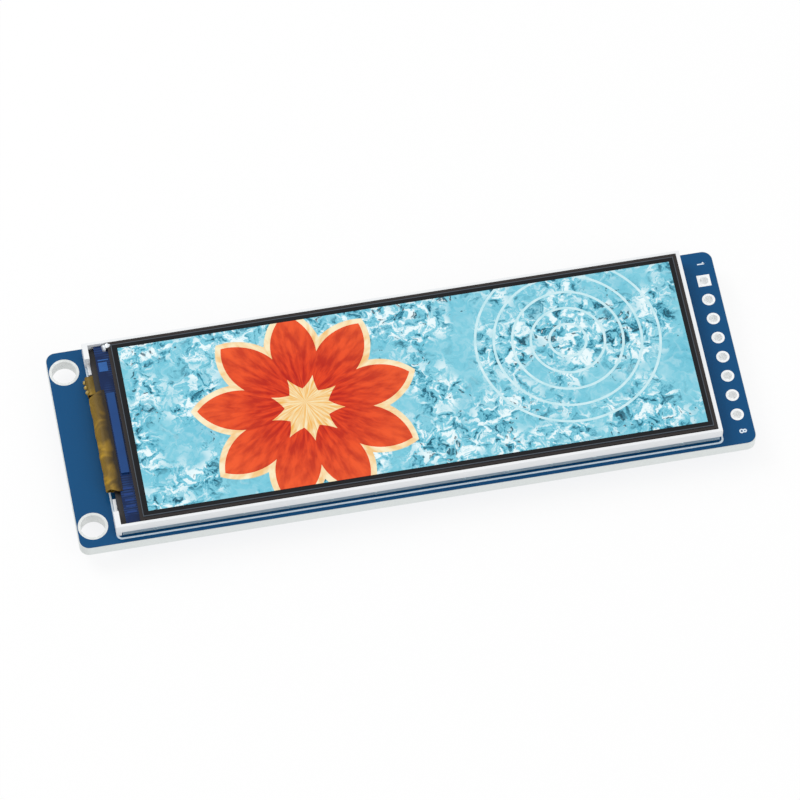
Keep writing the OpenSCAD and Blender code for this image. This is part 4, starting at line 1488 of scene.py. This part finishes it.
@dataclass
class PrintedNumbers:
    """Plain numbers in legend ink beside the header row and the small parts.

    Attributes:
        line: width of the printed line, as a share of a digit's height.
        ink: thickness of the ink.
        ink_step: how much higher each further stroke of a digit stands, so that no two
            tops lie in one plane where strokes meet.
        end_room: from the header's pads to the digit beyond them.
        end_tall: height of that digit.
        part_room: from the chips, and from the supply's parts, to their numbers.
        chip_rows: Y of the chips' numbers.
        supply_rows: Y of the supply's numbers.
    """

    line: float = 0.2
    ink: float = 0.03
    ink_step: float = 0.004
    end_room: float = 1.45
    end_tall: float = 0.74
    part_room: Pair = (1.8, 1.6)
    chip_rows: tuple[float, ...] = (5.4, 4.0, 2.5, 0.0, -2.2, -3.8, -5.4)
    supply_rows: tuple[float, ...] = (5.2, 3.5, -3.2, -5.0)

    @staticmethod
    def strokes(digit: int) -> list[Array]:
        """Lines of a digit in a cell 0.6 wide and 1 high, with its foot at 0.

        Args:
            digit: one of 1 to 8.

        Returns:
            One array of points for each stroke.
        """
        shapes = {
            1: [[(0.1, 0.8), (0.32, 1.0), (0.32, 0.0)]],
            2: [[*arc((0.3, 0.71), 0.28, 165, -35, 14), (0.02, 0.0), (0.6, 0.0)]],
            3: [arc((0.27, 0.75), 0.25, 150, -90, 14), arc((0.27, 0.26), 0.27, 80, -150, 14)],
            4: [[(0.45, 0.0), (0.45, 1.0)], [(0.4, 0.96), (0.0, 0.3), (0.62, 0.3)]],
            5: [[(0.55, 1.0), (0.08, 1.0), (0.04, 0.55)] + [*arc((0.27, 0.31), 0.31, 110, -140, 14)]],
            6: [arc((0.3, 0.29), 0.29, 0, 360, 24), [(0.48, 1.0), (0.2, 0.72), (0.03, 0.38)]],
            7: [[(0.0, 1.0), (0.6, 1.0), (0.2, 0.0)]],
            8: [arc((0.3, 0.77), 0.22, 0, 360, 22), arc((0.3, 0.28), 0.27, 0, 360, 24)],
        }
        return [np.array(line) for line in shapes[digit]]

    def places(self, side: Side) -> list[Number]:
        """Where the numbers go, from the places of the pads and parts.

        Args:
            side: the face of the board.

        Returns:
            The numbers on that face.
        """
        pads_low, pads_high = corners("header_pads")
        row = (pads_low[0] + pads_high[0]) / 2
        end = pads_high[1] + self.end_room
        if side is Side.FRONT:
            return [Number(1, row + 0.1, end, self.end_tall), Number(8, row + 0.2, -end, self.end_tall)]
        chips = corners("resistors")[0][0] - self.part_room[0]
        supply = corners("regulator_body")[0][0] - self.part_room[1]
        return [
            Number(8, row, end, self.end_tall),
            Number(1, row, -end, self.end_tall),
            *(Number(1 + k, chips, y) for k, y in enumerate(self.chip_rows)),
            *(Number(1 + k, supply, y) for k, y in enumerate(self.supply_rows)),
            Number(5, supply - 1.0, 0.2),
        ]

    def build(self, name: str, side: Side) -> None:
        """Prints the numbers of one face, each turned a quarter clockwise as it is read.

        Args:
            name: the piece's name.
            side: the face of the board.
        """
        front = side is Side.FRONT
        marking = "front_marking" if front else "back_marking"
        face = corners("front_solder_mask")[1][2] if front else corners("back_solder_mask")[0][2]
        numbers = self.places(side)
        points, faces, count = [], [], 0
        for number in numbers:
            for k, line in enumerate(self.strokes(number.digit)):
                u, v = ((line - [0.3, 0.5]) * number.tall).T
                # a quarter turn clockwise: (u, v) becomes (v, -u)
                turned = np.stack([number.x + v, (number.y - u) * side.value], axis=1)
                top = face + side.value * (self.ink + self.ink_step * k)
                ring, sides = stroke(turned, self.line * number.tall, face, top, count)
                points.append(ring)
                faces += sides
                count += len(ring)
        piece = mesh_piece(name, np.concatenate(points), faces)
        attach(piece, "module")
        dress(piece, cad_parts[marking].material_slots[0].material)
        log.info("%s: %d numbers", name, len(numbers))


# ---- studio --------------------------------------------------------------------


# the kinds of rays that the eye and mirrors send
SIGHT = "Camera", "Glossy", "Transmission"


@dataclass(frozen=True)
class Lamp:
    """A soft square lamp: its place, the length of its side and its power in watts."""

    name: str
    place: tuple[float, float, float]
    size: float
    watts: float


@dataclass
class Studio:
    """Pale floor, soft lamps and the camera.

    Attributes:
        azimuth: the camera's place round the module, in degrees from straight in front.
        elevation: the camera's height, in degrees over the floor.
        roll: how far the camera is tipped to its side, in degrees.
        away: from the camera to the module's middle.
        lens: focal length for a 36 mm sensor, in millimetres.
        floor: half length of the floor.
        drop: how far the floor lies below the faces that rest on it, so that no two
            surfaces coincide.
        sky: strength of the world's light.
        lift: share of plain white in the floor as the eye and mirrors see it.
        lamps: from behind on the left, from the front on the right, and from below.
    """

    azimuth: float = -12.40
    elevation: float = 60.75
    roll: float = 1.85
    away: float = 0.678
    lens: float = 270.0
    floor: float = 3.0
    drop: float = 0.00003
    sky: float = 0.69
    lift: float = 0.85
    lamps: tuple[Lamp, ...] = (
        Lamp("key", (-0.35, 0.3, 0.55), 0.4, 1.75),
        Lamp("fill", (0.4, -0.45, 0.45), 0.5, 1.05),
        Lamp("under", (0.12, -0.25, -1.0), 1.8, 6.0),
    )

    def set_camera(self) -> None:
        """Aims the camera at the middle of the module and tips it by the roll."""
        low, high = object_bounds()
        centre = (low + high) / 2
        a, e = math.radians(self.azimuth), math.radians(self.elevation)
        back = Vector((math.sin(a) * math.cos(e), -math.cos(a) * math.cos(e), math.sin(e)))
        data = bpy.data.cameras.new("camera")
        data.lens, data.sensor_width = self.lens, 36.0
        data.clip_start, data.clip_end = 0.01, 50.0
        camera = put("camera", data)
        turn = (-back).to_track_quat("-Z", "Y").to_matrix().to_4x4()
        turn = turn @ Matrix.Rotation(math.radians(self.roll), 4, "Z")
        camera.matrix_world = Matrix.Translation(centre + back * self.away) @ turn
        bpy.context.scene.camera = camera

    @staticmethod
    def rays(tree: Tree, *kinds: str) -> Socket:
        """1 for rays of any of some kinds.

        Args:
            tree: the node tree.
            *kinds: names of the kinds.

        Returns:
            1 or 0.
        """
        node = add(tree, "LightPath").node
        most = node.outputs[f"Is {kinds[0]} Ray"]
        for kind in kinds[1:]:
            ray = node.outputs[f"Is {kind} Ray"]
            most = add(tree, "Math", {0: most, 1: ray}, operation="MAXIMUM")
        return most

    def set_world(self) -> None:
        """Lights the module evenly, and shows plain white to the eye and to mirrors."""
        world = bpy.data.worlds.new("white_room")
        bpy.context.scene.world = world
        tree = blank(world)
        lit = add(tree, "Background", {"Color": "ffffff", "Strength": self.sky})
        seen = add(tree, "Background", {"Color": "ffffff", "Strength": 1.0})
        sight = self.rays(tree, *SIGHT)
        mixed = add(tree, "MixShader", {0: sight, 1: lit, 2: seen})
        add(tree, "OutputWorld", {"Surface": mixed})

    def set_floor(self) -> None:
        """Lays a white floor that keeps the shadow and can be seen through from below."""
        half, low = self.floor, -self.drop
        mesh = bpy.data.meshes.new("floor")
        mesh.from_pydata(
            [(-half, -half, low), (half, -half, low), (half, half, low), (-half, half, low)],
            [],
            [(0, 1, 2, 3)],
        )
        floor = put("floor", mesh)
        floor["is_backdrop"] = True
        material = bpy.data.materials.new("white_table")
        tree = blank(material)
        paint = add(tree, "BsdfDiffuse", {"Color": "fafafa"})
        white = add(tree, "Emission", {"Color": "ffffff", "Strength": 1.0})
        sight = self.rays(tree, *SIGHT)
        lift = add(tree, "Math", {0: sight, 1: self.lift}, operation="MULTIPLY")
        seen = add(tree, "MixShader", {0: lift, 1: paint, 2: white})
        # light reaches the underside too, as it does where the module is held in the air
        bounce = self.rays(tree, "Diffuse", "Shadow")
        below = add(tree, "NewGeometry", out="Backfacing")
        through = add(tree, "Math", {0: below, 1: bounce}, operation="MAXIMUM")
        clear = add(tree, "BsdfTransparent")
        surface = add(tree, "MixShader", {0: through, 1: seen, 2: clear})
        add(tree, "OutputMaterial", {"Surface": surface})
        dress(floor, material)

    def hang_lamps(self) -> None:
        """Hangs each lamp in its place, aimed at the module."""
        for lamp in self.lamps:
            data = bpy.data.lights.new(lamp.name, "AREA")
            data.shape, data.size, data.energy = "SQUARE", lamp.size, lamp.watts
            held = put(lamp.name, data)
            held.location = lamp.place
            held.rotation_mode = "QUATERNION"
            held.rotation_quaternion = (-Vector(lamp.place)).to_track_quat("-Z", "Y")

    def build(self) -> None:
        """Sets up the whole studio."""
        bpy.context.scene.view_settings.view_transform = "Standard"
        self.set_camera()
        self.set_world()
        self.set_floor()
        self.hang_lamps()


# ---- whole ---------------------------------------------------------------------


def main() -> None:
    """Builds and dresses the module in order, then sets the scene round it."""
    logging.basicConfig(level=logging.INFO)
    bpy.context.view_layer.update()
    Board().build()
    DisplayUnit().build()
    Connector().build()
    SmallParts().build()
    PasteDots().build()
    FlexibleCircuit().build()
    LampStrip().build()
    PrintedNumbers().build("front_numbers", Side.FRONT)
    PrintedNumbers().build("back_numbers", Side.BACK)
    Studio().build()


if __name__ == "__main__":
    main()
